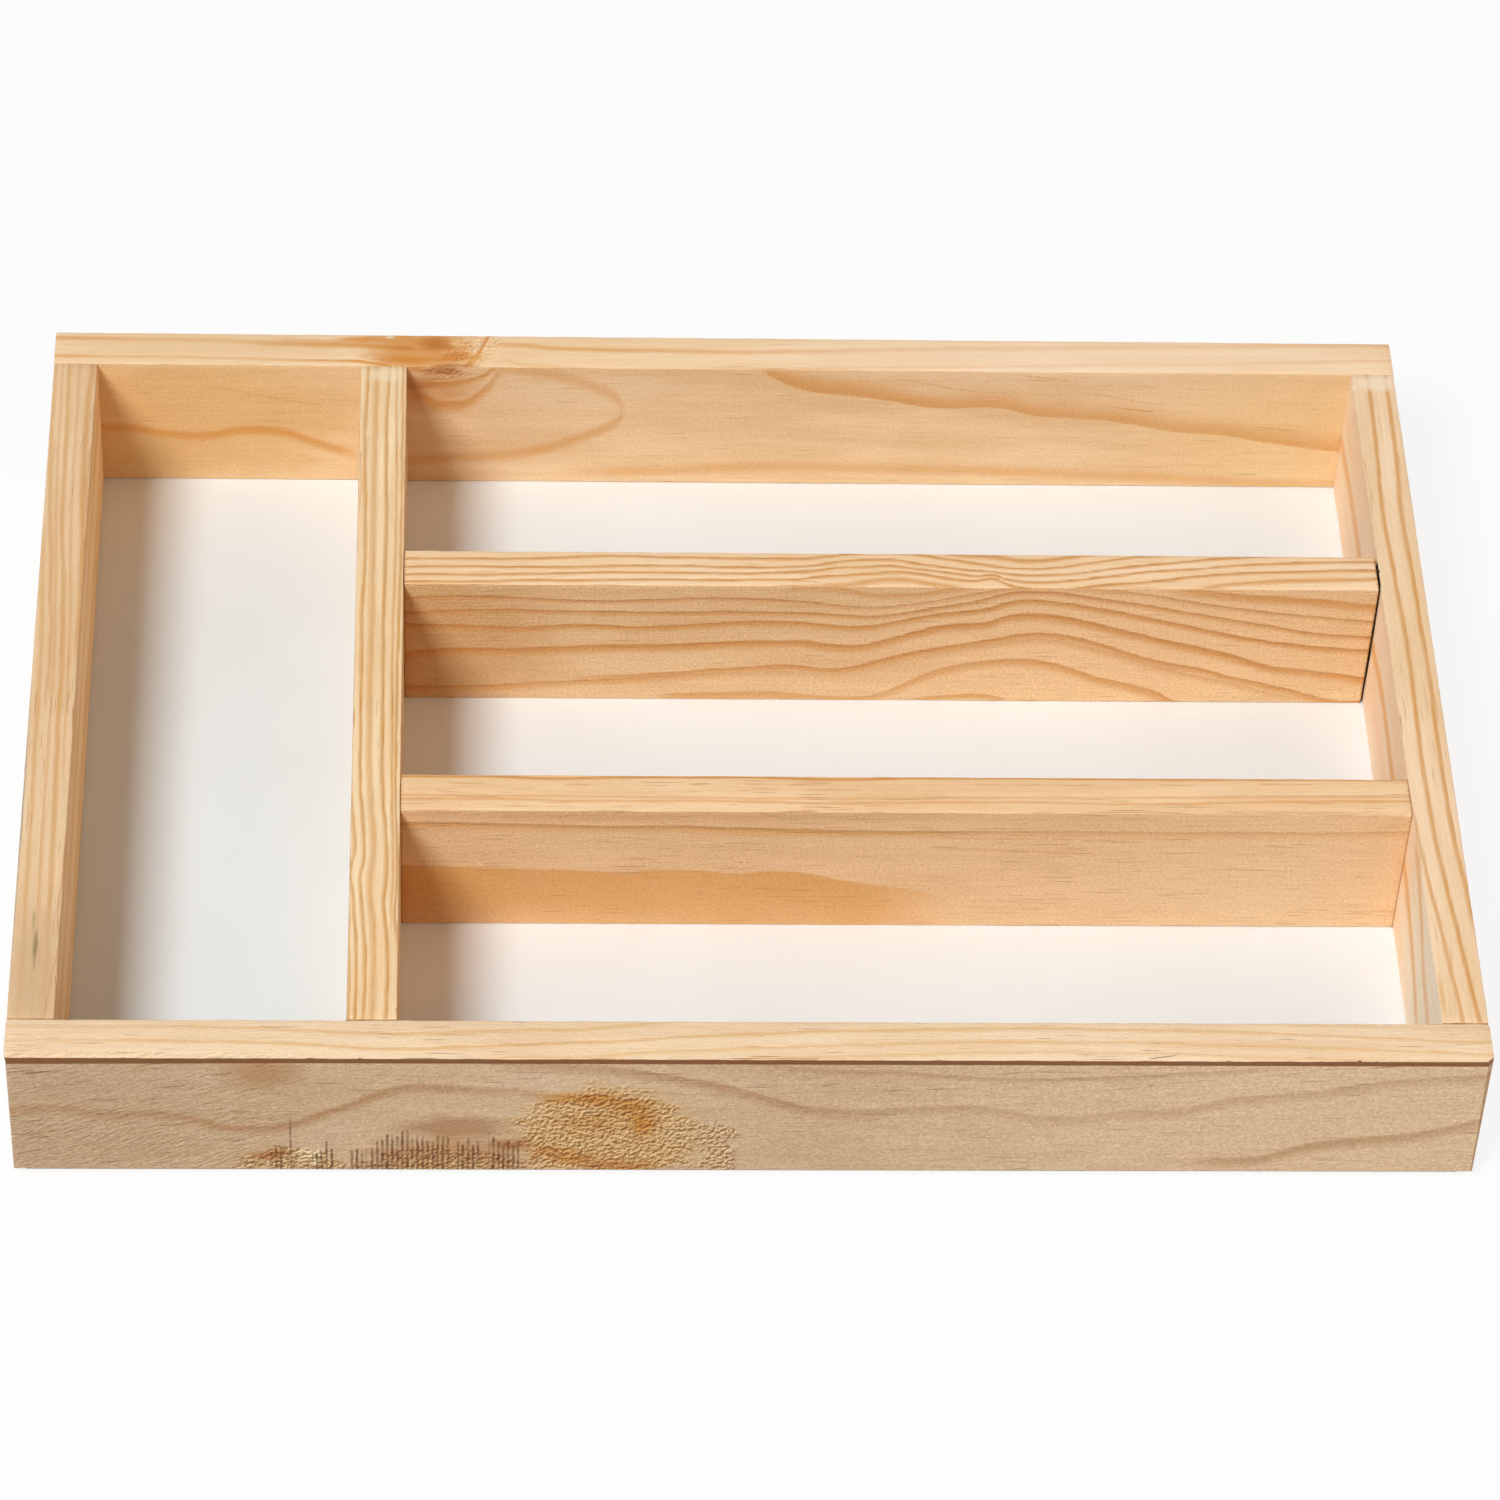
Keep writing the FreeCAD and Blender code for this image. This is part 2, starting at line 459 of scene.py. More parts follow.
    def build_planed(self) -> bpy.types.NodeTree:
        """Builds the height of a sawn and planed face: fuzz, fibre ridges and slanting strokes.

        Returns:
            The group.
        """
        bench, _, given = self.start(
            "Planed Surface",
            {"Grain Point": self.VECTOR, "Fuzz": self.FLOAT, "Strokes": self.FLOAT},
            {"Height": self.FLOAT})
        point = given["Grain Point"]
        fuzz = bench.noise(point, (0.9, 1.7, 1.3), detail=3.0, rough=0.7)
        ridges = bench.noise(point, (0.12, 2.6, 1.6), detail=2.0, rough=0.5)
        turned = bench.node("ShaderNodeVectorRotate", {
            "Vector": point, "Angle": math.radians(-36.0)}, rotation_type="Z_AXIS").outputs[0]
        crowd = bench.ease(bench.noise(point, (0.03, 0.07, 0.1), detail=1.0), 0.38, 0.62, 0.25, 1.0)
        strokes = bench.math("MULTIPLY", bench.noise(turned, (0.16, 1.25, 0.6), detail=1.0, rough=0.5), crowd)
        height = bench.total(bench.math("MULTIPLY", fuzz, given["Fuzz"]),
                             bench.math("MULTIPLY", ridges, bench.math("MULTIPLY", given["Fuzz"], 0.6)),
                             bench.math("MULTIPLY", strokes, given["Strokes"]))
        return self.end(bench, {"Height": height})

    def build_end_grain(self) -> bpy.types.NodeTree:
        """Builds the arcs and pores of a board's cut ends.

        Returns:
            The group.
        """
        bench, _, given = self.start(
            "End Grain",
            {"Board Point": self.VECTOR, "Heart": self.VECTOR, "Ring Width": self.FLOAT},
            {"Ring": self.FLOAT, "Pores": self.FLOAT, "Saw": self.FLOAT})
        flat = bench.scale(given["Board Point"], (0.0, 1.0, 1.0))
        away = bench.node("ShaderNodeVectorMath", {0: flat, 1: given["Heart"]}, operation="DISTANCE")
        wobble = bench.noise(flat, (1.0, 0.16, 0.16), detail=2.0)
        radius = bench.math("MULTIPLY_ADD", wobble, 1.8, away.outputs["Value"])
        part = bench.math("FRACT", bench.math("DIVIDE", radius, given["Ring Width"]))
        ring = bench.math("MULTIPLY", bench.ease(part, 0.35, 0.9), bench.ease(part, 0.93, 1.0, 1.0, 0.0))
        pores = bench.noise(flat, (1.0, 3.2, 3.2), detail=2.0, rough=0.7)
        saw = bench.noise(flat, (1.0, 0.08, 1.9), detail=2.0, rough=0.6)
        return self.end(bench, {"Ring": ring, "Pores": pores, "Saw": saw})

    def build_edge_wear(self) -> bpy.types.NodeTree:
        """Builds the mask of the rubbed long edges of a board.

        Returns:
            The group.
        """
        bench, _, given = self.start(
            "Edge Wear",
            {"Board Point": self.VECTOR, "Thickness": self.FLOAT, "Width": self.FLOAT},
            {"Mask": self.FLOAT})
        _, across, up = bench.parts(given["Board Point"])
        side = bench.math("MINIMUM", across, bench.math("SUBTRACT", given["Thickness"], across))
        rise = bench.math("MINIMUM", up, bench.math("SUBTRACT", BOARD_HEIGHT, up))
        out = bench.math("ADD", bench.math("ABSOLUTE", side), bench.math("ABSOLUTE", rise))
        ragged = bench.noise(given["Board Point"], (0.35, 1.3, 1.3), detail=2.0, rough=0.6)
        reach = bench.math("MULTIPLY", given["Width"], bench.line(ragged, 0.3, 0.7, 0.25, 1.6))
        return self.end(bench, {"Mask": bench.ease(out, 0.0, reach, 1.0, 0.0)})

    def build_specks(self) -> bpy.types.NodeTree:
        """Builds sparse dots of dust and dents.

        Returns:
            The group.
        """
        bench, _, given = self.start(
            "Specks",
            {"Place": self.VECTOR, "Spacing": self.FLOAT, "Size": self.FLOAT, "Share": self.FLOAT},
            {"Mask": self.FLOAT})
        cells = bench.node("ShaderNodeTexVoronoi", {
            "Vector": given["Place"], "Scale": bench.math("DIVIDE", 1.0, given["Spacing"]),
            "Randomness": 1.0}).outputs
        reach = bench.math("DIVIDE", given["Size"], given["Spacing"])
        dot = bench.ease(cells["Distance"], bench.math("MULTIPLY", reach, 0.5), reach, 1.0, 0.0)
        chance = bench.parts(cells["Color"])[0]
        mask = bench.math("MULTIPLY", dot, bench.math("LESS_THAN", chance, given["Share"]))
        return self.end(bench, {"Mask": mask})


    def build_comb(self) -> bpy.types.NodeTree:
        """Builds a row of upright grooves of uneven height.

        Returns:
            The group.
        """
        bench, _, given = self.start(
            "Comb Marks",
            {"Along": self.FLOAT, "Around": self.FLOAT, "Start": self.FLOAT, "Stop": self.FLOAT,
             "Foot": self.FLOAT, "Top": self.FLOAT, "Pitch": self.FLOAT},
            {"Tooth": self.FLOAT})
        place = bench.join(given["Along"], given["Around"], 0.0)
        sway = bench.noise(place, (0.3, 0.5, 1.0), detail=1.0)
        count = bench.math("DIVIDE", bench.math("MULTIPLY_ADD", sway, 0.5, given["Along"]), given["Pitch"])
        chance = bench.node("ShaderNodeTexWhiteNoise", {"W": bench.math("FLOOR", count)},
                            noise_dimensions="1D").outputs["Value"]
        slow = bench.noise(place, (0.09, 0.0, 1.0), detail=1.0)
        share = bench.math("MULTIPLY_ADD", chance, 0.3, bench.line(slow, 0.35, 0.65, 0.55, 0.85))
        top = bench.math("MULTIPLY_ADD", bench.math("SUBTRACT", given["Top"], given["Foot"]), share, given["Foot"])
        below = bench.ease(bench.math("SUBTRACT", top, given["Around"]), 0.0, 0.8)
        middle = bench.math("ABSOLUTE", bench.math("SUBTRACT", bench.math("FRACT", count), 0.5))
        groove = bench.ease(middle, 0.34, 0.1)
        start = bench.ease(given["Along"], given["Start"], bench.math("ADD", given["Start"], 0.6))
        stop = bench.ease(given["Along"], given["Stop"], bench.math("SUBTRACT", given["Stop"], 0.6))
        reach = bench.math("MULTIPLY", bench.math("MULTIPLY", start, stop), below)
        tooth = bench.math("MULTIPLY", bench.math("MULTIPLY", reach, groove),
                           bench.line(bench.noise(place, (0.9, 0.3, 1.0)), 0.35, 0.65, 0.3, 1.0))
        return self.end(bench, {"Tooth": tooth})


@dataclass(frozen=True)
class PineTint:
    """The colours of one pine board, as they look in plain light."""

    pale: Colour
    tan: Colour
    orange: Colour = paint(205, 148, 88)
    dark: Colour = paint(150, 98, 52)
    canal: Colour = paint(184, 112, 36)
    end: Colour = paint(214, 172, 122)
    end_ring: Colour = paint(168, 116, 68)


@dataclass(frozen=True)
class PineFinish:
    """Planed pine with the growth lines, stains and canals of one board, and its patches of painted light and shade.
    """

    tint: PineTint
    top_tint: PineTint
    lines: tuple[GrainLine, ...] = ()
    patches: tuple[Patch, ...] = ()
    shift: float = -7.0
    canals: float = 0.10
    canal_depth: float = 0.02
    fray: float = 0.35
    speckle: float = 0.13
    fuzz: float = 0.2
    strokes: float = 0.0
    edge_wear: float = 0.35
    # The next two set how strong the painted shade is along the foot of the face and down its butted ends.
    foot: float = 0.45
    butt_shade: float = 0.0
    knots_through: bool = False
    torn_share: float = 1.0
    torn_depth: float = 1.0
    torn_areas: tuple[tuple[float, float, float, float], ...] = ()
    richness: float = 1.2
    depth: float = 0.6
    roughness: float = 0.62
    ring_width: float = 3.2
    heart: tuple[float, float, float] = (0.0, 30.0, -22.0)

    def reading(self, bench: NodeBench, share: object, line: GrainLine, length: float) -> bpy.types.NodeSocket:
        """Adds the curve that gives a line's place and strength along the board.

        Args:
            bench: The material's bench.
            share: The place along the board, 0 to 1.
            line: The growth line.
            length: The board's length in millimetres.

        Returns:
            The curve's colour: red is the place and green the strength.
        """
        made = bench.node("ShaderNodeRGBCurve", {"Color": share})
        lift = BOARD_HEIGHT if line.on_top else 0.0
        places = [(at / length, (value + lift - LOWEST_READING) / READING_SPAN) for at, value in line.places]
        fades = [(at / length, value) for at, value in line.fade]
        for curve, points in ((made.mapping.curves[0], places), (made.mapping.curves[1], fades)):
            curve.points[0].location = (min(points[0][0], 0.0), points[0][1])
            curve.points[1].location = (max(points[-1][0], 1.0), points[-1][1])
            for at, value in points:
                curve.points.new(at, value)
        made.mapping.update()
        return made.outputs["Color"]

    def dress(self, piece: bpy.types.Object, board: "Board", effects: SharedEffects) -> None:
        """Makes this board's pine and puts it on the piece.

        Args:
            piece: The board's mesh object.
            board: The board's place and size.
            effects: The shared node groups.
        """
        material = bpy.data.materials.new(f"pine_{board.node}")
        material.use_nodes = True
        material.node_tree.nodes.clear()
        bench = NodeBench(material.node_tree)
        point = self.board_point(bench, board)
        laid = bench.group(effects.unrolled, {
            "Board Point": point, "Thickness": board.thickness, "Shift": self.shift})
        along, around, top = laid["Along"], laid["Around"], laid["Top"]
        fibre = bench.group(effects.fibre, {"Grain Point": laid["Grain Point"], "Canals": self.canals})
        frayed = bench.math("MULTIPLY_ADD", fibre["Fray"], self.fray, around)
        orange, dark = self.lay_lines(bench, effects, along, frayed, top, board.length)
        plain = bench.mix(bench.ease(fibre["Mottle"], 0.32, 0.68), self.tint.pale, self.tint.tan)
        shown = bench.choose(laid["Good"], -90.0, around)
        plain = self.lay_patches(bench, effects, along, shown, plain, True)
        colour = self.wood_colour(bench, fibre, top, plain, orange, dark)
        colour = self.lay_patches(bench, effects, along, around if self.knots_through else shown, colour, False)
        worn = bench.group(effects.edge_wear, {
            "Board Point": point, "Thickness": board.thickness, "Width": 0.5})
        colour = bench.mix(bench.math("MULTIPLY", worn["Mask"], self.edge_wear), colour, self.top_tint.pale)
        # Painted shade along the foot of the face and down its butted ends, in the canal brown.
        colour = bench.mix(self.seam_shade(bench, fibre, point, top, board.length), colour, self.tint.canal)
        colour, height = self.extras(bench, effects, point, along, shown, colour)
        colour = self.end_colour(bench, effects, point, board, colour)
        relief = bench.group(effects.planed, {
            "Grain Point": laid["Grain Point"], "Fuzz": bench.line(top, 0.0, 1.0, self.fuzz, self.fuzz * 0.25),
            "Strokes": self.stroked(bench, along, around, top)})
        rise = bench.total(relief["Height"], bench.math("MULTIPLY", fibre["Canal"], -self.canal_depth), height)
        bump = bench.node("ShaderNodeBump", {"Strength": 1.0, "Distance": MM, "Height": rise})
        sheen = bench.line(fibre["Mottle"], 0.3, 0.7, self.roughness - 0.05, self.roughness + 0.07)
        shader = bench.node("ShaderNodeBsdfPrincipled", {
            "Base Color": colour, "Roughness": sheen, "Normal": bump.outputs[0], "Specular IOR Level": 0.25})
        bench.node("ShaderNodeOutputMaterial", {"Surface": shader.outputs[0]})
        piece.data.materials.clear()
        piece.data.materials.append(material)

    def board_point(self, bench: NodeBench, board: "Board") -> bpy.types.NodeSocket:
        """Adds the place on the board in millimetres: along it, across from its good face, and up.

        Args:
            bench: The material's bench.
            board: The board's place and size.

        Returns:
            The place as a vector.
        """
        low, high = board.low / MM, board.high / MM
        settings = {
            Showing.FRONT: ((-low.x, -low.y, -low.z), 0.0, 1000.0),
            Showing.RIGHT: ((-low.y, high.x, -low.z), -90.0, 1000.0),
            Showing.LEFT: ((-low.y, -low.x, -low.z), -90.0, -1000.0)}
        shift, turn, side = settings[board.showing]
        place = bench.node("ShaderNodeTexCoord").outputs["Object"]
        return bench.node("ShaderNodeMapping", {
            "Vector": place, "Location": shift, "Rotation": (0.0, 0.0, math.radians(turn)),
            "Scale": (side, 1000.0, 1000.0)}).outputs[0]

    def lay_lines(self, bench: NodeBench, effects: SharedEffects, along: object, around: object, top: object,
                  length: float) -> tuple[object, object]:
        """Lays every growth line.

        Args:
            bench: The material's bench.
            effects: The shared node groups.
            along: Millimetres along the board.
            around: Millimetres around the board.
            top: Mask of the top.
            length: The board's length in millimetres.

        Returns:
            The masks of the orange wood and of the dark wood.
        """
        share = bench.math("DIVIDE", along, length, clamp=True)
        orange, dark = 0.0, 0.0
        on_face = bench.choose(top, around, -90.0)
        on_top = bench.choose(top, -90.0, around)
        for line in self.lines:
            laid = bench.group(effects.grain_line, {
                "Around": on_top if line.on_top else on_face, "Reading": self.reading(bench, share, line, length),
                "Above": line.above, "Below": line.below, "Orange": line.orange * self.richness, "Dark": line.dark * self.depth,
                "Orange So Far": orange, "Dark So Far": dark})
            orange, dark = laid["Orange"], laid["Dark"]
        return orange, dark

    def wood_colour(self, bench: NodeBench, fibre: dict, top: object, plain: object, orange: object,
                    dark: object) -> bpy.types.NodeSocket:
        """Colours the wood from its lines and fibre.

        Args:
            bench: The material's bench.
            fibre: Outputs of the fibre group.
            top: Mask of the top.
            plain: The colour of the good face before its lines.
            orange: Mask of the orange wood.
            dark: Mask of the dark wood.

        Returns:
            The colour.
        """
        mottle = bench.ease(fibre["Mottle"], 0.32, 0.68)
        cap = bench.mix(mottle, self.top_tint.pale, self.top_tint.tan)
        base = bench.mix(top, plain, cap)
        rich = bench.mix(top, self.tint.orange, self.top_tint.orange)
        deep = bench.mix(top, self.tint.dark, self.top_tint.dark)
        vary = bench.line(fibre["Streak"], 0.3, 0.7, 0.70, 1.15)
        colour = bench.mix(bench.math("MULTIPLY", orange, vary, clamp=True), base, rich)
        colour = bench.mix(bench.math("MULTIPLY", dark, vary, clamp=True), colour, deep)
        streak = bench.line(fibre["Streak"], 0.25, 0.75, 0.93, 1.06)
        fine = bench.line(fibre["Fine"], 0.25, 0.75, 0.95, 1.045)
        grainy = bench.line(top, 0.0, 1.0, self.speckle, self.speckle * 0.3)
        speck = bench.math("MULTIPLY_ADD", bench.line(fibre["Speck"], 0.3, 0.7, -1.0, 1.0), grainy, 1.0)
        tone = bench.math("MULTIPLY", bench.math("MULTIPLY", streak, fine), speck)
        tint = bench.node("ShaderNodeCombineColor", {
            0: bench.math("POWER", tone, 0.75), 1: tone, 2: bench.math("POWER", tone, 1.4)}).outputs[0]
        colour = bench.mix(1.0, colour, tint, "MULTIPLY")
        return bench.mix(bench.math("MULTIPLY", fibre["Canal"], 0.6), colour, self.tint.canal)

    def seam_shade(self, bench: NodeBench, fibre: dict, point: object, top: object, length: float) -> bpy.types.NodeSocket:
        """Marks the thin dark lines of painted shade along the foot of the face and down its butted ends.

        Args:
            bench: The material's bench.
            fibre: Outputs of the fibre group.
            point: The place on the board.
            top: Mask of the top and underside.
            length: The board's length in millimetres.

        Returns:
            The mask.
        """
        along, _, up = bench.parts(point)
        wide = bench.line(fibre["Streak"], 0.35, 0.65, 0.15, 0.55)
        foot = bench.math("MULTIPLY", bench.math("SUBTRACT", 1.0, top), bench.ease(up, 0.0, wide, self.foot, 0.0))
        near = bench.math("MINIMUM", along, bench.math("SUBTRACT", length, along))
        butt_shade = bench.ease(near, 0.1, bench.math("MULTIPLY", wide, 1.5), self.butt_shade, 0.0)
        return bench.math("MAXIMUM", foot, butt_shade)

    def stroked(self, bench: NodeBench, along: object, around: object, top: object) -> object:
        """Returns how deep the planer's strokes are; they stay off the top."""
        return bench.math("MULTIPLY", bench.math("SUBTRACT", 1.0, top), self.strokes)

    def lay_patches(self, bench: NodeBench, effects: SharedEffects, along: object, around: object,
                    colour: object, under: bool) -> bpy.types.NodeSocket:
        """Lays the stains, knots and patches of painted light and shade on the wood.

        Args:
            bench: The material's bench.
            effects: The shared node groups.
            along: Millimetres along the board.
            around: Millimetres around the board.
            colour: The colour so far.
            under: Whether to lay those that lie under the growth lines, or the others.

        Returns:
            The colour with the patches.
        """
        for patch in self.patches:
            if patch.under is not under:
                continue
            mask = bench.group(effects.patch, {
                "Along": along, "Around": around, "Centre Along": patch.along, "Centre Around": patch.around,
                "Half Length": patch.half_length, "Half Height": patch.half_height,
                "Ragged": patch.ragged, "Inner": patch.inner, "Strength": patch.strength})["Mask"]
            colour = bench.mix(mask, colour, patch.colour)
        return colour

    def extras(self, bench: NodeBench, effects: SharedEffects, point: object, along: object, around: object,
               colour: object) -> tuple[object, object]:
        """Adds torn wood where a knot has it; plain boards have nothing more.

        Args:
            bench: The material's bench.
            effects: The shared node groups.
            point: The place on the board; not used here.
            along: Millimetres along the board.
            around: Millimetres around the board.
            colour: The colour so far.

        Returns:
            The colour and the extra height in millimetres.
        """
        if not self.torn_areas:
            return colour, 0.0
        return self.torn_wood(bench, effects, along, around, 1.0, colour)

    def torn_wood(self, bench: NodeBench, effects: SharedEffects, along: object, around: object, face: object,
                  colour: object) -> tuple[object, object]:
        """Adds the rough woven look of torn wood over the knot and beside it, with painted highlights and shade on its
        relief.

        Args:
            bench: The material's bench.
            effects: The shared node groups.
            along: Millimetres along the board.
            around: Millimetres around the board.
            face: Mask of the good face.
            colour: The colour so far.

        Returns:
            The colour and the height in millimetres.
        """
        area = 0.0
        for centre, around_centre, half_length, half_height in self.torn_areas:
            mask = bench.group(effects.patch, {
                "Along": along, "Around": around, "Centre Along": centre, "Centre Around": around_centre,
                "Half Length": half_length, "Half Height": half_height, "Ragged": 0.9, "Inner": 0.75 * self.torn_share,
                "Strength": 1.0})["Mask"]
            area = bench.math("MAXIMUM", area, mask)
        area = bench.math("MULTIPLY", bench.math("MULTIPLY", area, face), self.torn_share)
        field = self.threads(bench, along, around)
        # Painted light: the height minus a copy shifted up and to the left paints highlights on slopes that face up
        # and left, and shade on the others. Higher places are painted lighter too.
        above = self.threads(bench, bench.math("ADD", along, -0.2), bench.math("ADD", around, 0.5))
        painted_light = bench.math("MULTIPLY_ADD", bench.math("SUBTRACT", field, above), 1.35,
                         bench.math("MULTIPLY", field, 0.45))
        tone = bench.node("ShaderNodeCombineColor", {
            0: bench.line(painted_light, -0.35, 0.75, 0.60, 1.42), 1: bench.line(painted_light, -0.35, 0.75, 0.38, 1.48),
            2: bench.line(painted_light, -0.35, 0.75, 0.10, 1.66)}).outputs[0]
        colour = bench.mix(area, colour, bench.mix(1.0, colour, tone, "MULTIPLY"))
        return colour, bench.math("MULTIPLY", bench.math("MULTIPLY", field, area), self.torn_depth)

    def threads(self, bench: NodeBench, along: object, around: object) -> bpy.types.NodeSocket:
        """Gives the height of the torn, woven-looking fibres at one place.

        Args:
            bench: The material's bench.
            along: Millimetres along the board.
            around: Millimetres around the board.

        Returns:
            The height, about 0 to 1.
        """
        place = bench.join(along, around, 0.0)
        sway = bench.math("MULTIPLY_ADD", bench.noise(place, (0.3, 0.4, 1.0), detail=2.0, rough=0.7), 3.4, -1.7)
        swayed = bench.join(bench.math("ADD", along, sway), bench.math("MULTIPLY_ADD", sway, -0.7, around), 0.0)
        cells = bench.node("ShaderNodeTexVoronoi", {
            "Vector": bench.scale(swayed, (0.68, 0.64, 1.0)), "Scale": 1.0, "Randomness": 0.75},
            voronoi_dimensions="2D").outputs["Distance"]
        turned = bench.node("ShaderNodeVectorRotate", {
            "Vector": place, "Angle": math.radians(-35.0)}, rotation_type="Z_AXIS").outputs[0]
        turns = bench.noise(turned, (0.75, 1.3, 1.0), detail=2.0, rough=0.6)
        return bench.math("SUBTRACT", bench.math("MULTIPLY_ADD", turns, 2.2, -0.15),
                          bench.math("MULTIPLY", cells, 0.9))

    def end_colour(self, bench: NodeBench, effects: SharedEffects, point: object, board: "Board",
                   colour: object) -> bpy.types.NodeSocket:
        """Shows end grain where the surface looks along the board.

        Args:
            bench: The material's bench.
            effects: The shared node groups.
            point: The place on the board.
            board: The board's place and size.
            colour: The colour so far.

        Returns:
            The colour with the ends.
        """
        ends = bench.group(effects.end_grain, {
            "Board Point": point, "Heart": self.heart, "Ring Width": self.ring_width})
        wood = bench.mix(bench.math("MULTIPLY", ends["Ring"], 0.75), self.tint.end, self.tint.end_ring)
        pores = bench.line(ends["Pores"], 0.3, 0.7, 0.86, 1.06)
        wood = bench.mix(1.0, wood, bench.node("ShaderNodeCombineColor", {0: pores, 1: pores, 2: pores}).outputs[0],
                         "MULTIPLY")
        axis = (1.0, 0.0, 0.0) if board.showing is Showing.FRONT else (0.0, 1.0, 0.0)
        normal = bench.node("ShaderNodeNewGeometry").outputs["Normal"]
        facing = bench.node("ShaderNodeVectorMath", {0: normal, 1: axis}, operation="DOT_PRODUCT").outputs["Value"]
        mask = bench.ease(bench.math("ABSOLUTE", facing), 0.6, 0.8)
        return bench.mix(mask, colour, wood)


@dataclass(frozen=True)
class Board:
    """One pine board: its place from the frame, and how its edges are worked."""

    node: str
    showing: Showing
    finish: PineFinish
    arris: float = 0.35
    end_arris: float = 0.2
    rub: float = 0.22
    edge_strip: float = 1.4
    chips: tuple[Chip, ...] = ()

    @cached_property
    def low(self) -> Vector:
        """The lowest corner of the CAD board, in metres."""
        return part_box(self.node)[0]

    @cached_property
    def high(self) -> Vector:
        """The highest corner of the CAD board, in metres."""
        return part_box(self.node)[1]

    @property
    def axis(self) -> int:
        """The axis that the board's length lies along."""
        return 0 if self.showing is Showing.FRONT else 1

    @cached_property
    def length(self) -> float:
        """The board's length in millimetres."""
        return (self.high - self.low)[self.axis] / MM

    @cached_property
    def thickness(self) -> float:
        """The board's thickness in millimetres."""
        return (self.high - self.low)[1 - self.axis] / MM

    def make(self, effects: SharedEffects) -> bpy.types.Object:
        """Models and dresses the board.

        Args:
            effects: The shared node groups.

        Returns:
            The finished piece.
        """
        piece = self.blank()
        self.shape(piece)
        self.rub_edges(piece)
        self.break_chips(piece)
        bpy.ops.object.select_all(action="DESELECT")
        piece.select_set(True)
        bpy.context.view_layer.objects.active = piece
        bpy.ops.object.shade_smooth_by_angle(angle=math.radians(32.0))
        self.finish.dress(piece, self, effects)
        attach(piece, "root")
        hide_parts(self.node)
        log.info("%s: %.1f mm long, %d faces", piece.name, self.length, len(piece.data.polygons))
        return piece

    def blank(self) -> bpy.types.Object:
        """Cuts the blank board to size.

        Returns:
            The blank, with its place in its mesh.
        """
        bpy.ops.object.select_all(action="DESELECT")
        bpy.ops.mesh.primitive_cube_add(size=1.0, location=(self.low + self.high) / 2, scale=self.high - self.low)
        piece = bpy.context.active_object
        piece.name = f"{self.node}_wood"
        piece.data.name = piece.name
        bpy.ops.object.transform_apply(location=True, rotation=True, scale=True)
        return piece

    def pick(self, piece: bpy.types.Object, kind: str, wanted: Callable[[object], bool]) -> None:
        """Selects only the wanted points, edges or faces in edit mode.

        Args:
            piece: The object in edit mode.
            kind: VERT, EDGE or FACE.
            wanted: Says for a point, edge or face if it is wanted.
        """
        bpy.ops.mesh.select_mode(type=kind)
        bpy.ops.mesh.select_all(action="DESELECT")
        mesh = bmesh.from_edit_mesh(piece.data)
        parts = {"VERT": mesh.verts, "EDGE": mesh.edges, "FACE": mesh.faces}[kind]
        for part in parts:
            if wanted(part):
                part.select_set(True)
        mesh.select_flush_mode()
        bmesh.update_edit_mesh(piece.data)

    def runs_along(self, edge: bmesh.types.BMEdge) -> bool:
        """Says if an edge lies along the board."""
        span = edge.verts[1].co - edge.verts[0].co
        return abs(span[self.axis]) > 0.99 * span.length and span.length > 0.5 * self.length * MM

    def shape(self, piece: bpy.types.Object) -> None:
        """Breaks the arrises and cuts the board into short lengths for the rubbed edges.

        Args:
            piece: The blank board.
        """
        bpy.ops.object.mode_set(mode="EDIT")
        ends = (self.low[self.axis], self.high[self.axis])

        def at_end(edge: bmesh.types.BMEdge) -> bool:
            """Says if an edge lies round one of the board's ends."""
            places = [corner.co[self.axis] for corner in edge.verts]
            return any(all(abs(place - end) < 1e-6 for place in places) for end in ends)

        self.pick(piece, "EDGE", self.runs_along)
        bpy.ops.mesh.bevel(offset=self.arris * MM, segments=3, affect="EDGES")
        self.pick(piece, "EDGE", at_end)
        bpy.ops.mesh.bevel(offset=self.end_arris * MM, segments=2, affect="EDGES")
        for drop in (self.edge_strip, 42.0 - self.edge_strip):
            self.slice(2, self.high.z - drop * MM)
        for inset in (self.edge_strip, self.thickness - self.edge_strip):
            self.slice(1 - self.axis, self.low[1 - self.axis] + inset * MM)
        self.pick(piece, "EDGE", self.runs_along)
        bpy.ops.mesh.subdivide(number_cuts=int(self.length / 1.6))
        bpy.ops.object.mode_set(mode="OBJECT")

    def slice(self, axis: int, place: float) -> None:
        """Cuts all faces in edit mode with a flat plane.

        Args:
            axis: The axis that the plane stands across.
            place: Where it stands, in metres.
        """
        bpy.ops.mesh.select_all(action="SELECT")
        where = [0.0, 0.0, 0.0]
        facing = [0.0, 0.0, 0.0]
        where[axis] = place
        facing[axis] = 1.0
        bpy.ops.mesh.bisect(plane_co=where, plane_no=facing)

    def rub_edges(self, piece: bpy.types.Object) -> None:
        """Rubs the arrises unevenly, inwards only.

        Args:
            piece: The board.
        """
        reach = 2.0 * self.arris * MM
        group = piece.vertex_groups.new(name="arris")
        for corner in piece.data.vertices:
            near = [min(abs(corner.co[axis] - self.low[axis]), abs(corner.co[axis] - self.high[axis]))
                    for axis in (1 - self.axis, 2)]
            if max(near) < reach:
                group.add([corner.index], 1.0, "REPLACE")
        self.displace(piece, "arris", self.rub, 0.0035)

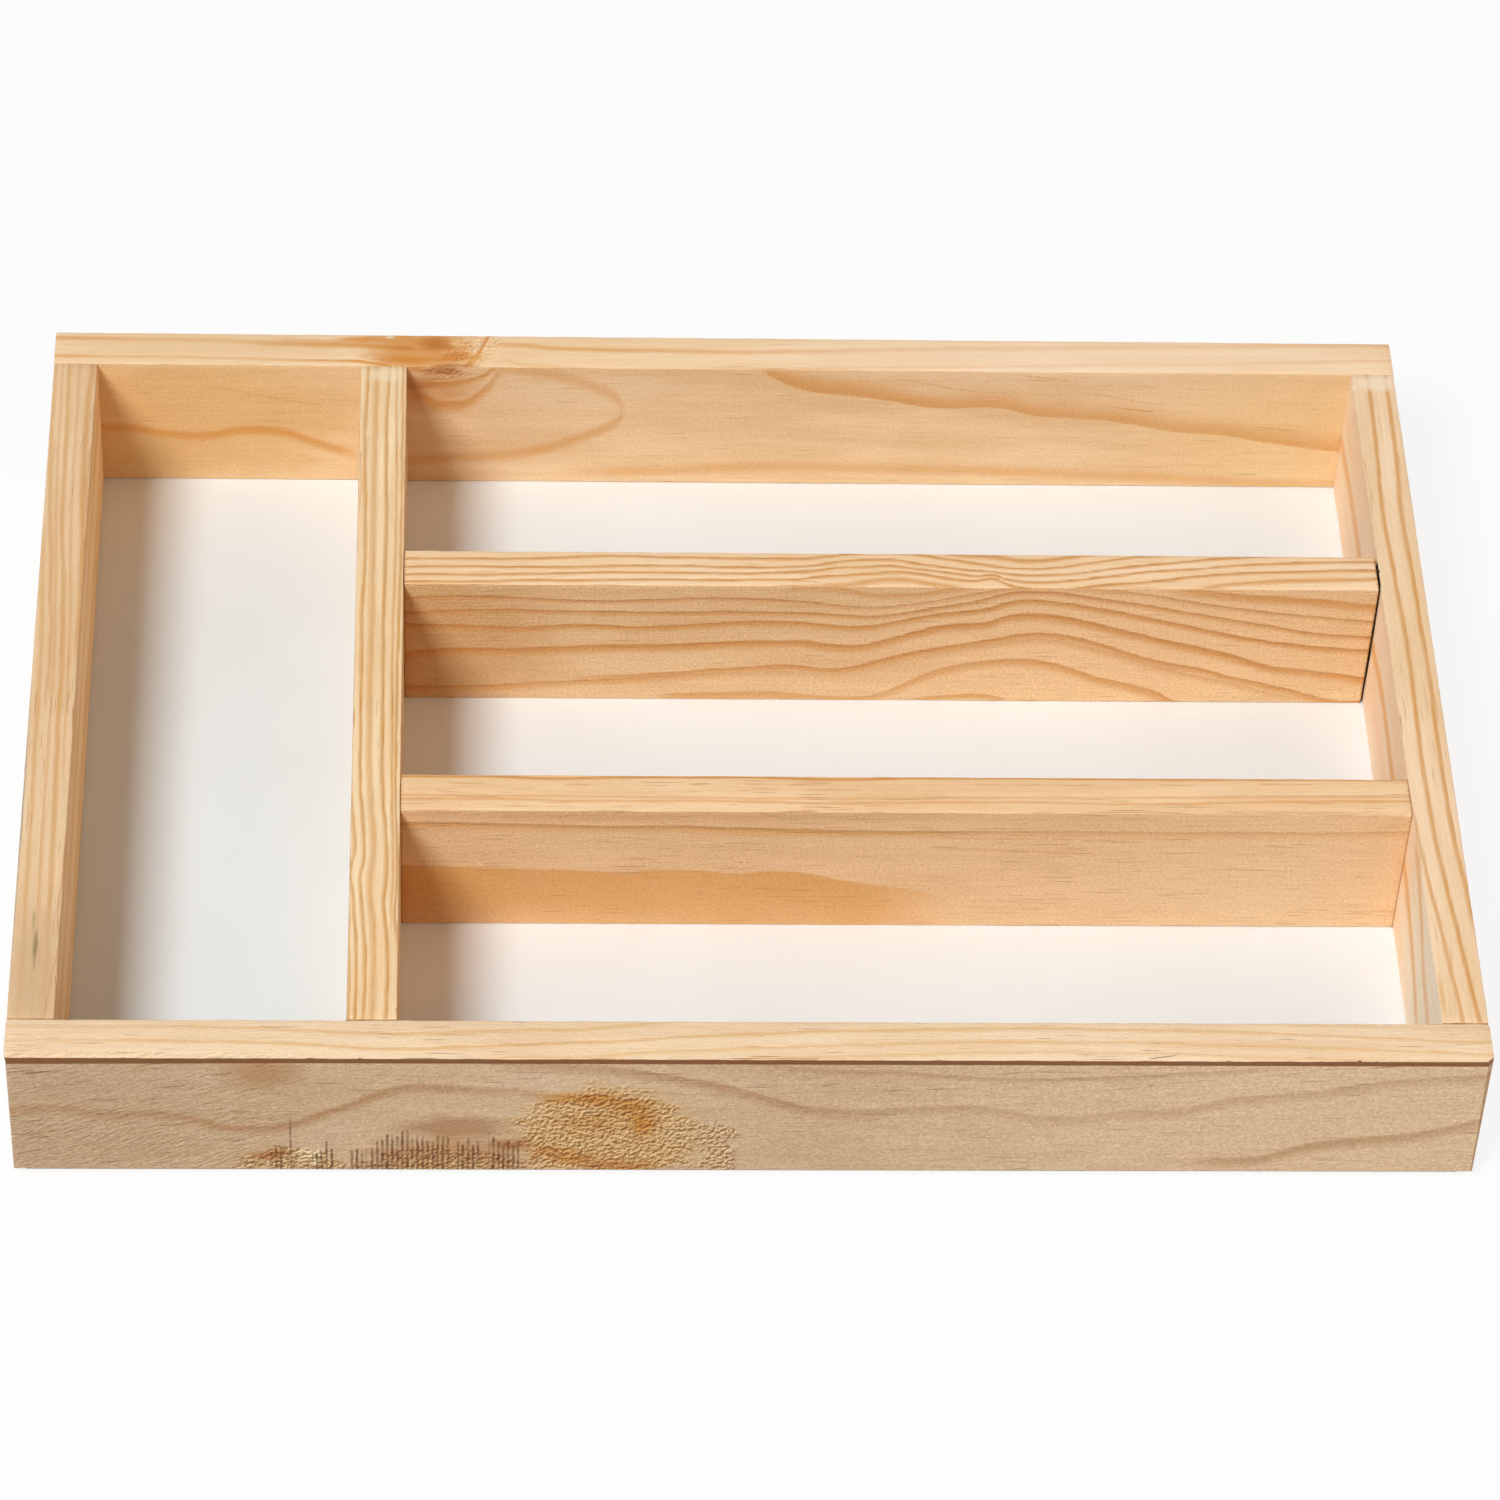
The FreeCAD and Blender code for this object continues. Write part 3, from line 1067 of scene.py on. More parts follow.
    def displace(self, piece: bpy.types.Object, group: str, depth: float, grain: float) -> None:
        """Sinks a group of points by uneven amounts.

        Args:
            piece: The board.
            group: The vertex group.
            depth: The greatest depth in millimetres.
            grain: The size of the unevenness in metres.
        """
        texture = bpy.data.textures.new(f"{piece.name}_{group}", "CLOUDS")
        texture.noise_scale = grain
        texture.noise_depth = 2
        modifier = piece.modifiers.new(group, "DISPLACE")
        modifier.texture = texture
        modifier.texture_coords = "LOCAL"
        modifier.vertex_group = group
        modifier.strength = depth * MM
        modifier.mid_level = 1.0
        bpy.context.view_layer.objects.active = piece
        bpy.ops.object.modifier_apply(modifier=group)

    def break_chips(self, piece: bpy.types.Object) -> None:
        """Breaks small chips out of the upper edges.

        Args:
            piece: The board.
        """
        if not self.chips:
            return
        cutters = []
        for chip in self.chips:
            place = Vector((0.0, 0.0, self.high.z))
            place[self.axis] = self.low[self.axis] + chip.along * MM
            far_side = self.showing is Showing.RIGHT
            good = self.high[1 - self.axis] if far_side else self.low[1 - self.axis]
            hidden = self.low[1 - self.axis] if far_side else self.high[1 - self.axis]
            place[1 - self.axis] = good if chip.arris is Arris.GOOD else hidden
            bpy.ops.object.select_all(action="DESELECT")
            bpy.ops.mesh.primitive_ico_sphere_add(subdivisions=2, radius=1.0, location=place)
            cutter = bpy.context.active_object
            size = [chip.depth * MM, chip.depth * MM, 0.8 * chip.depth * MM]
            size[self.axis] = chip.length * 0.5 * MM
            cutter.scale = size
            cutter.rotation_euler = (0.2, 0.3, 0.1 * chip.along) if chip.length < 1.5 else (0.0, 0.0, 0.0)
            cutters.append(cutter)
        bpy.ops.object.select_all(action="DESELECT")
        for cutter in cutters:
            cutter.select_set(True)
        bpy.context.view_layer.objects.active = cutters[0]
        bpy.ops.object.join()
        joined = bpy.context.active_object
        modifier = piece.modifiers.new("chips", "BOOLEAN")
        modifier.object = joined
        modifier.operation = "DIFFERENCE"
        modifier.solver = "EXACT"
        bpy.ops.object.select_all(action="DESELECT")
        bpy.context.view_layer.objects.active = piece
        bpy.ops.object.modifier_apply(modifier="chips")
        bpy.data.objects.remove(joined)


@dataclass(frozen=True)
class RoughEndBoard(Board):
    """A divider whose right end was broken off and not quite reaches the side board."""

    ragged: float = 0.42

    def shape(self, piece: bpy.types.Object) -> None:
        """Shapes the board, then roughens its right end.

        Args:
            piece: The blank board.
        """
        super().shape(piece)
        bpy.ops.object.mode_set(mode="EDIT")
        end = self.high[self.axis]
        self.pick(piece, "FACE", lambda face: abs(face.calc_center_median()[self.axis] - end) < 1e-6)
        bpy.ops.mesh.subdivide(number_cuts=14)
        bpy.ops.object.mode_set(mode="OBJECT")
        group = piece.vertex_groups.new(name="sawn_end")
        for corner in piece.data.vertices:
            if abs(corner.co[self.axis] - end) < 1e-5:
                group.add([corner.index], 1.0, "REPLACE")
        self.displace(piece, "sawn_end", self.ragged, 0.005)


@dataclass(frozen=True)
class LippedBoard(Board):
    """The front board: a ragged lip along its top overhangs the planed face."""

    lip: float = 0.42
    strip: float = 1.7
    setback: float = 0.35
    groove: float = 0.35
    worn_top: float = 1.3
    worn_foot: float = 0.4

    def shape(self, piece: bpy.types.Object) -> None:
        """Shapes the board, cuts its face back under the lip and wears the right front corner.

        Args:
            piece: The blank board.
        """
        super().shape(piece)
        low, high = self.low, self.high
        bpy.ops.object.mode_set(mode="EDIT")
        for drop in (self.lip, self.strip):
            self.slice(2, high.z - drop * MM)
        under = high.z - self.lip * MM + 1e-6
        skin = (self.arris + 0.02) * MM
        self.pick(piece, "VERT", lambda point: point.co.z < under and point.co.y < low.y + skin)
        bpy.ops.transform.translate(value=(0.0, self.setback * MM, 0.0))
        self.pick(piece, "VERT", lambda point: point.co.z < under and point.co.x < low.x + skin)
        bpy.ops.transform.translate(value=(self.setback * MM, 0.0, 0.0))
        behind = low.y + (self.setback + 0.02) * MM
        self.pick(piece, "VERT", lambda point: abs(point.co.z - under) < 2e-6 and point.co.y < behind)
        bpy.ops.transform.translate(value=(0.0, self.groove * MM, 0.0))
        bpy.ops.mesh.select_all(action="SELECT")
        lean = (self.worn_top - self.worn_foot) / BOARD_HEIGHT
        bpy.ops.mesh.bisect(plane_co=(high.x - self.worn_top * MM, low.y + self.setback * MM, high.z),
                            plane_no=(1.0, -1.0, lean), use_fill=True, clear_outer=True)
        bpy.ops.object.mode_set(mode="OBJECT")


@dataclass(frozen=True)
class KnottyFrontFinish(PineFinish):
    """The front board's pine: a torn knot, comb marks of the planer and a dark strip of painted shade under the lip.
    """

    # Dark brown for the strip under the lip: painted shade for the lip's shadow on the face below it.
    strip: Colour = paint(127, 71, 14)
    # Dark brown painted into the comb grooves and the scratch dashes: painted shade in these grooves, over their bump.
    groove_shade: Colour = paint(122, 70, 26)
    torn_areas: tuple[tuple[float, float, float, float], ...] = (
        (141.0, 12.0, 25.0, 21.0), (103.0, 0.0, 25.0, 9.5), (66.0, 1.0, 15.0, 8.5), (163.0, 14.0, 11.0, 5.0),
        (168.0, 4.0, 4.5, 9.0))
    comb_rows: tuple[tuple[float, float, float], ...] = (
        (61.5, 64.5, 10.5), (65.2, 66.8, 25.0), (71.0, 77.0, 12.5), (80.0, 84.5, 9.5), (84.5, 104.5, 14.0),
        (105.5, 111.5, 13.5), (113.0, 120.8, 18.0))

    def extras(self, bench: NodeBench, effects: SharedEffects, point: object, along: object, around: object,
               colour: object) -> tuple[object, object]:
        """Adds the knot's torn wood, the comb marks and the strip of painted shade under the lip.

        Args:
            bench: The material's bench.
            effects: The shared node groups.
            point: The place on the board.
            along: Millimetres along the board.
            around: Millimetres around the board.
            colour: The colour so far.

        Returns:
            The colour and the extra height in millimetres.
        """
        face = bench.ease(bench.parts(point)[1], 1.6, 1.9, 1.0, 0.0)
        colour, cuts = self.scratches(bench, along, around, face, colour)
        colour, torn = self.torn_wood(bench, effects, along, around, face, colour)
        colour, teeth = self.comb_marks(bench, effects, along, around, face, colour)
        _, _, up = bench.parts(point)
        # Painted shade: a dark strip from just under the lip down to this line, for the lip's shadow. The lip and the
        # groove under it are real geometry.
        foot = bench.line(along, 4.0, 70.0, 39.2, 39.75)
        strip = bench.math("MULTIPLY", bench.ease(up, foot, bench.math("ADD", foot, 0.25)),
                           bench.ease(up, 41.62, 41.75, 1.0, 0.0))
        colour = bench.mix(bench.math("MULTIPLY", bench.math("MULTIPLY", strip, face), 0.92), colour, self.strip)
        return colour, bench.total(cuts, torn, teeth)

    def stroked(self, bench: NodeBench, along: object, around: object, top: object) -> object:
        """Returns how deep the planer's strokes are; they are deepest low on the left."""
        near = bench.math("MULTIPLY", bench.ease(along, 48.0, 68.0, 1.0, 0.15), bench.ease(around, 16.0, 27.0, 1.0, 0.12))
        return bench.math("MULTIPLY", super().stroked(bench, along, around, top), near)

    def scratches(self, bench: NodeBench, along: object, around: object, face: object,
                  colour: object) -> tuple[object, object]:
        """Adds thin dark dashes that slant up to the right near the left end, and painted highlights and shade on the
        slanting planer strokes.

        Args:
            bench: The material's bench.
            along: Millimetres along the board.
            around: Millimetres around the board.
            face: Mask of the good face.
            colour: The colour so far.

        Returns:
            The colour and the height in millimetres.
        """
        turned = bench.node("ShaderNodeVectorRotate", {
            "Vector": bench.join(along, around, 0.0), "Angle": math.radians(-8.0)}, rotation_type="Z_AXIS").outputs[0]
        dashes = bench.noise(turned, (0.06, 1.25, 1.0), detail=1.0, rough=0.4)
        near = bench.ease(along, 40.0, 90.0, 0.70, 0.76)
        mark = bench.math("MULTIPLY", bench.ease(dashes, near, bench.math("ADD", near, 0.02)), face)
        # Painted shade: the dashes take the dark groove brown.
        colour = bench.mix(bench.math("MULTIPLY", mark, 0.6), colour, self.groove_shade)
        # Painted light: the strokes' height minus a copy shifted up paints highlights on their sides that face up and
        # shade on those that face down.
        painted_light = bench.math("SUBTRACT", self.strokes_at(bench, along, around),
                         self.strokes_at(bench, along, bench.math("ADD", around, 0.45)))
        tone = bench.node("ShaderNodeCombineColor", {
            0: bench.line(painted_light, -0.25, 0.25, 0.74, 1.24), 1: bench.line(painted_light, -0.25, 0.25, 0.66, 1.27),
            2: bench.line(painted_light, -0.25, 0.25, 0.52, 1.34)}).outputs[0]
        area = bench.math("MULTIPLY", bench.ease(along, 56.0, 84.0, 0.85, 0.14),
                          bench.ease(around, 20.0, 38.0, 1.0, 0.72))
        colour = bench.mix(bench.math("MULTIPLY", area, face), colour, bench.mix(1.0, colour, tone, "MULTIPLY"))
        return colour, bench.math("MULTIPLY", mark, -0.25)

    def strokes_at(self, bench: NodeBench, along: object, around: object) -> bpy.types.NodeSocket:
        """Gives the height of the slanting strokes at one place.

        Args:
            bench: The material's bench.
            along: Millimetres along the board.
            around: Millimetres around the board.

        Returns:
            The height, 0 to 1.
        """
        turned = bench.node("ShaderNodeVectorRotate", {
            "Vector": bench.join(along, around, 0.0), "Angle": math.radians(-22.0)},
            rotation_type="Z_AXIS").outputs[0]
        return bench.noise(turned, (0.22, 1.05, 1.0), detail=3.0, rough=0.6)

    def comb_marks(self, bench: NodeBench, effects: SharedEffects, along: object, around: object, face: object,
                   colour: object) -> tuple[object, object]:
        """Adds the rows of upright marks that the planer left by the knot.

        Args:
            bench: The material's bench.
            effects: The shared node groups.
            along: Millimetres along the board.
            around: Millimetres around the board.
            face: Mask of the good face.
            colour: The colour so far.

        Returns:
            The colour and the height in millimetres.
        """
        height = 0.0
        for start, stop, top in self.comb_rows:
            tooth = bench.group(effects.comb, {
                "Along": along, "Around": around, "Start": start, "Stop": stop, "Foot": -1.0, "Top": top,
                "Pitch": 1.2})["Tooth"]
            tooth = bench.math("MULTIPLY", tooth, face)
            # Painted shade: each groove takes the dark groove brown.
            colour = bench.mix(bench.math("MULTIPLY", tooth, 0.95), colour, self.groove_shade)
            height = bench.math("MULTIPLY_ADD", tooth, -0.35, height)
        return colour, height


@dataclass(frozen=True)
class WhitePanelFinish:
    """A hardboard panel painted white on its upper face."""

    white: Colour = paint(235, 238, 239)
    warm: Colour = paint(232, 234, 234)
    speck: Colour = paint(176, 158, 138)
    board: Colour = paint(134, 98, 66)
    board_dark: Colour = paint(104, 72, 46)

    def dress(self, piece: bpy.types.Object, effects: SharedEffects) -> None:
        """Makes the panel's finish and puts it on the piece.

        Args:
            piece: The panel.
            effects: The shared node groups.
        """
        material = bpy.data.materials.new("white_panel")
        material.use_nodes = True
        material.node_tree.nodes.clear()
        bench = NodeBench(material.node_tree)
        place = bench.scale(bench.node("ShaderNodeTexCoord").outputs["Object"], (1000.0, 1000.0, 1000.0))
        cloud = bench.noise(place, (0.012, 0.012, 0.012), detail=3.0)
        white = bench.mix(bench.ease(cloud, 0.35, 0.65), self.white, self.warm)
        dots = bench.group(effects.specks, {"Place": place, "Spacing": 21.0, "Size": 0.42, "Share": 0.34})["Mask"]
        dents = bench.group(effects.specks, {"Place": place, "Spacing": 33.0, "Size": 0.9, "Share": 0.3})["Mask"]
        white = bench.mix(bench.math("MULTIPLY", dots, 0.75), white, self.speck)
        white = bench.mix(bench.math("MULTIPLY", dents, 0.2), white, self.speck)
        flecks = bench.noise(place, (0.9, 0.25, 0.4), detail=4.0, rough=0.7)
        brown = bench.mix(bench.ease(flecks, 0.35, 0.65), self.board, self.board_dark)
        normal = bench.parts(bench.node("ShaderNodeNewGeometry").outputs["Normal"])[2]
        top = bench.ease(normal, 0.4, 0.6)
        colour = bench.mix(top, brown, white)
        roller = bench.noise(place, (0.5, 0.5, 0.5), detail=2.0)
        height = bench.total(bench.math("MULTIPLY", roller, 0.02), bench.math("MULTIPLY", dents, -0.1),
                             bench.math("MULTIPLY", flecks, bench.math("MULTIPLY_ADD", top, -0.12, 0.13)))
        bump = bench.node("ShaderNodeBump", {"Strength": 1.0, "Distance": MM, "Height": height})
        rough = bench.choose(top, 0.8, bench.line(cloud, 0.3, 0.7, 0.46, 0.56))
        shader = bench.node("ShaderNodeBsdfPrincipled", {
            "Base Color": colour, "Roughness": rough, "Normal": bump.outputs[0], "Specular IOR Level": 0.3})
        bench.node("ShaderNodeOutputMaterial", {"Surface": shader.outputs[0]})
        piece.data.materials.clear()
        piece.data.materials.append(material)


@dataclass(frozen=True)
class SteelFinish:
    """Drawn steel wire with fine lines along it and a little dull zinc."""

    name: str
    bright: Colour = paint(190, 190, 188)
    dull: Colour = paint(142, 141, 138)
    roughness: float = 0.36

    def dress(self, pieces: list[bpy.types.Object], effects: SharedEffects) -> None:
        """Makes the steel and puts it on the pieces.

        Args:
            pieces: The pins or staples.
            effects: The shared node groups.
        """
        material = bpy.data.materials.new(self.name)
        material.use_nodes = True
        material.node_tree.nodes.clear()
        bench = NodeBench(material.node_tree)
        place = bench.scale(bench.node("ShaderNodeTexCoord").outputs["Object"], (1000.0, 1000.0, 1000.0))
        cloud = bench.noise(place, (0.7, 0.7, 0.7), detail=3.0, rough=0.6)
        lines = bench.noise(place, (6.0, 6.0, 0.4), detail=2.0)
        spots = bench.group(effects.specks, {"Place": place, "Spacing": 0.9, "Size": 0.16, "Share": 0.4})["Mask"]
        colour = bench.mix(bench.ease(cloud, 0.35, 0.65), self.bright, self.dull)
        colour = bench.mix(bench.math("MULTIPLY", spots, 0.5), colour, self.dull)
        rough = bench.line(bench.math("ADD", cloud, lines), 0.7, 1.3, self.roughness - 0.08, self.roughness + 0.12)
        bump = bench.node("ShaderNodeBump", {
            "Strength": 0.4, "Distance": MM, "Height": bench.math("MULTIPLY", lines, 0.02)})
        shader = bench.node("ShaderNodeBsdfPrincipled", {
            "Base Color": colour, "Metallic": 1.0, "Roughness": rough, "Normal": bump.outputs[0]})
        bench.node("ShaderNodeOutputMaterial", {"Surface": shader.outputs[0]})
        for piece in pieces:
            piece.data.materials.clear()
            piece.data.materials.append(material)


@dataclass
class OuterFrame:
    """The four boards round the tray."""

    arris: float = 0.35
    front_rub: float = 0.32

    def front_finish(self) -> PineFinish:
        """The front board's pine: greyish brown bands on its face, pale yellow on its top."""
        brown = paint(186, 136, 88)
        amber = paint(202, 134, 38)
        lines = (
            GrainLine(((0, 22.5), (8, 23.5), (15, 22.8), (22, 21.3), (37, 21.2), (42, 20), (47, 18), (52, 16.3),
                       (58, 15.8), (63, 16.5), (68, 18.2), (73, 21), (80, 24.5), (86, 28), (90, 30.3), (95, 31.5),
                       (102, 31), (110, 30.4), (120, 29.8), (126, 28.5), (132, 27)),
                      1.3, 2.7, 0.6, 0.15, ((0, 0.9), (20, 0.75), (40, 0.9), (55, 1), (88, 1), (110, 0.8),
                                             (126, 0.5), (132, 0), (350, 0))),
            GrainLine(((105, 41), (120, 39.9), (130, 39.3), (142, 38.3), (152, 36.3), (160, 34.3), (170, 31.5),
                       (177, 28.5), (183, 26), (190, 23.5), (200, 22.7), (210, 23.6), (222, 24.3), (230, 24.2),
                       (236, 22.8), (243, 20.8), (250, 20.3), (257, 21.3), (265, 22.8), (275, 23), (282, 25),
                       (290, 27.8), (300, 29.2), (308, 30.2), (318, 32.5), (328, 34.4), (340, 35.8), (350, 36.5)),
                      0.9, 3.4, 0.6, 0.15, ((0, 0), (105, 0), (120, 0.5), (150, 0.8), (175, 0.9), (200, 0.7),
                                            (232, 0.6), (250, 0.5), (300, 0.55), (350, 0.5))),
            GrainLine(((170, 41), (187, 38.3), (200, 37.1), (210, 37), (220, 36), (230, 35.3), (240, 34.8),
                       (262, 35.6), (275, 36.9), (287, 38), (300, 39.2), (315, 40)),
                      0.6, 1.5, 0.4, 0.15, ((0, 0), (165, 0), (185, 0.8), (240, 1), (290, 0.8), (315, 0), (350, 0))),
            GrainLine(((270, 4.5), (278, 4.5), (290, 5), (297, 5.5), (303, 8), (310, 10.5), (320, 12.5),
                       (328, 13.5), (337, 15.5), (345, 18), (350, 20)),
                      0.9, 3.6, 0.5, 0.1, ((0, 0), (268, 0), (285, 0.6), (300, 1), (325, 1), (350, 0.8))),
            GrainLine(((0, 9.9), (40, 9.6), (60, 9.5), (80, 8.2), (90, 7.8), (100, 8.2), (120, 9.2), (135, 9.5),
                       (145, 10.4), (155, 11.4), (165, 12.5)), 0.5, 0.9, 0.5, 0.1,
                      ((0, 0.5), (60, 0.8), (90, 1), (150, 0.8), (165, 0), (350, 0)), True),
            GrainLine(((0, 5.6), (50, 5.3), (65, 4.8), (80, 3.8), (90, 3.3), (115, 4.4), (140, 5.3), (150, 6.3),
                       (160, 7.2), (175, 7.9), (190, 8.9), (220, 9.8), (270, 9.8), (300, 8.7), (330, 7.2),
                       (345, 6.2)), 0.4, 0.9, 0.55, 0.12, ((0, 0.5), (80, 1), (150, 1), (350, 0.8)), True),
            GrainLine(((100, -1), (115, 0.6), (140, 1.2), (150, 2.3), (165, 3.2), (190, 4.5), (210, 5.3), (235, 5.8),
                       (265, 5.7), (300, 4.7), (320, 3.8), (350, 2.2)), 0.4, 0.9, 0.5, 0.12,
                      ((0, 0), (100, 0), (120, 0.8), (350, 0.8)), True),
            GrainLine(((160, -1), (170, 0.3), (210, 1.8), (235, 2.6), (260, 2.6), (280, 2.1), (300, 1.2),
                       (330, 0.2), (350, -1)), 0.4, 0.8, 0.45, 0.1, ((0, 0), (165, 0), (180, 0.8), (350, 0.6)),
                      True),
            GrainLine(((290, 12), (305, 11.3), (350, 10.7)), 0.4, 0.8, 0.4, 0.1,
                      ((0, 0), (290, 0), (310, 0.8), (350, 0.8)), True),
            GrainLine(((0, 36.2), (12, 36.2), (20, 36.4), (28, 36.5), (36, 38), (60, 34), (85, 27), (92, 28.5),
                       (120, 31), (188, 33), (197, 33), (230, 28), (253, 30), (285, 34.8), (295, 35.8),
                       (318, 39.5)), 0.22, 0.22, 0.5, 0.9,
                      ((0, 0), (11, 0), (12, 0.8), (18, 0.8), (19, 0), (27, 0), (29, 1), (35, 1), (37, 0),
                       (84, 0), (86, 0.9), (91, 0.9), (93, 0), (187, 0), (189, 0.6), (196, 0.6), (198, 0),
                       (252, 0), (256, 0.5), (283, 0.7), (286, 0), (294, 0), (298, 0.5), (316, 0.6), (319, 0),
                       (350, 0))),
            GrainLine(((0, 12.8), (2, 13.3), (13, 15), (16, 17.5), (21, 18.5), (50, 11.5), (57, 11.5), (300, 27),
                       (316, 28.8), (322, 30), (345, 15.2), (350, 15.2)), 0.22, 0.22, 0.5, 0.9,
                      ((0, 0), (2, 0.7), (12, 0.9), (14, 0), (15.5, 0), (17, 0.8), (21, 0.8), (22, 0), (49, 0),
                       (51, 0.7), (56, 0.7), (58, 0), (315, 0), (317, 0.8), (322, 0.8), (323, 0), (343, 0),
                       (345, 0.8), (350, 0.8))),
            GrainLine(((0, 30), (5, 30.5), (20, 32.3)), 0.22, 0.22, 0.4, 0.8,
                      ((0, 0), (4, 0), (6, 0.7), (19, 0.7), (21, 0), (350, 0))),
        )
        patches = (
            # Painted light and shade: the face is darker towards its left end and paler towards its right end, for the
            # uneven light across it.
            Patch(10, 20, 95, 60, paint(202, 170, 136), 0.8, 0.4, 0.2, True),
            Patch(330, 20, 160, 60, paint(236, 203, 166), 0.8, 0.4, 0.2, True),
            Patch(60, 36, 14, 8, paint(184, 134, 84), 0.7, 0.5, 0.2),
            Patch(105, 16.5, 18, 6, paint(176, 128, 84), 0.75, 0.6, 0.3),
            Patch(141, 13, 27, 23, paint(228, 188, 128), 0.85, 0.7, 0.6),
            Patch(163, 14, 12, 5.5, paint(222, 190, 142), 0.7, 0.9, 0.5),
            Patch(167, 4, 6, 10, paint(222, 190, 142), 0.7, 0.9, 0.5),
            Patch(103, 4, 26, 11, paint(196, 146, 92), 0.8, 0.9, 0.4),
            Patch(103, -2, 26, 8, paint(216, 180, 124), 0.7, 0.9, 0.5),
            Patch(66, 1, 16, 9, paint(218, 184, 132), 0.75, 0.9, 0.6),
            Patch(130, 27.4, 9, 3.4, amber, 0.75, 1.0, 0.1),
            Patch(139, 26.8, 9, 4.2, amber, 0.85, 1.0, 0.1),
            Patch(146.5, 24, 7, 5, amber, 0.9, 1.0, 0.1),
            Patch(149.5, 18, 5.5, 8, amber, 0.9, 1.0, 0.1),
            Patch(138, 18.5, 11, 5, amber, 0.5, 1.3, 0.1),
            Patch(119, 9.6, 7, 4.2, paint(178, 114, 58), 0.8, 1.0, 0.1),
            Patch(127, 7.4, 9, 4, amber, 0.6, 1.2, 0.1),
            Patch(135, 4.6, 9, 4, amber, 0.75, 1.2, 0.1),
            Patch(144, 1.2, 14, 5, paint(200, 134, 60), 0.8, 1.0, 0.2),
            Patch(61, 6, 7, 2.6, paint(190, 122, 56), 0.85, 1.4, 0.1),
            Patch(71, 5.5, 5, 5, paint(250, 230, 190), 0.85, 1.6, 0.1),
        )
        return KnottyFrontFinish(
            PineTint(paint(224, 192, 157), paint(215, 180, 143), brown, paint(136, 90, 56), paint(122, 74, 30)),
            PineTint(paint(251, 222, 186), paint(245, 211, 172), paint(230, 178, 112), paint(206, 150, 84)),
            lines, patches, fuzz=0.8, strokes=1.1, canals=0.08, canal_depth=0.1, fray=0.6, speckle=0.22)

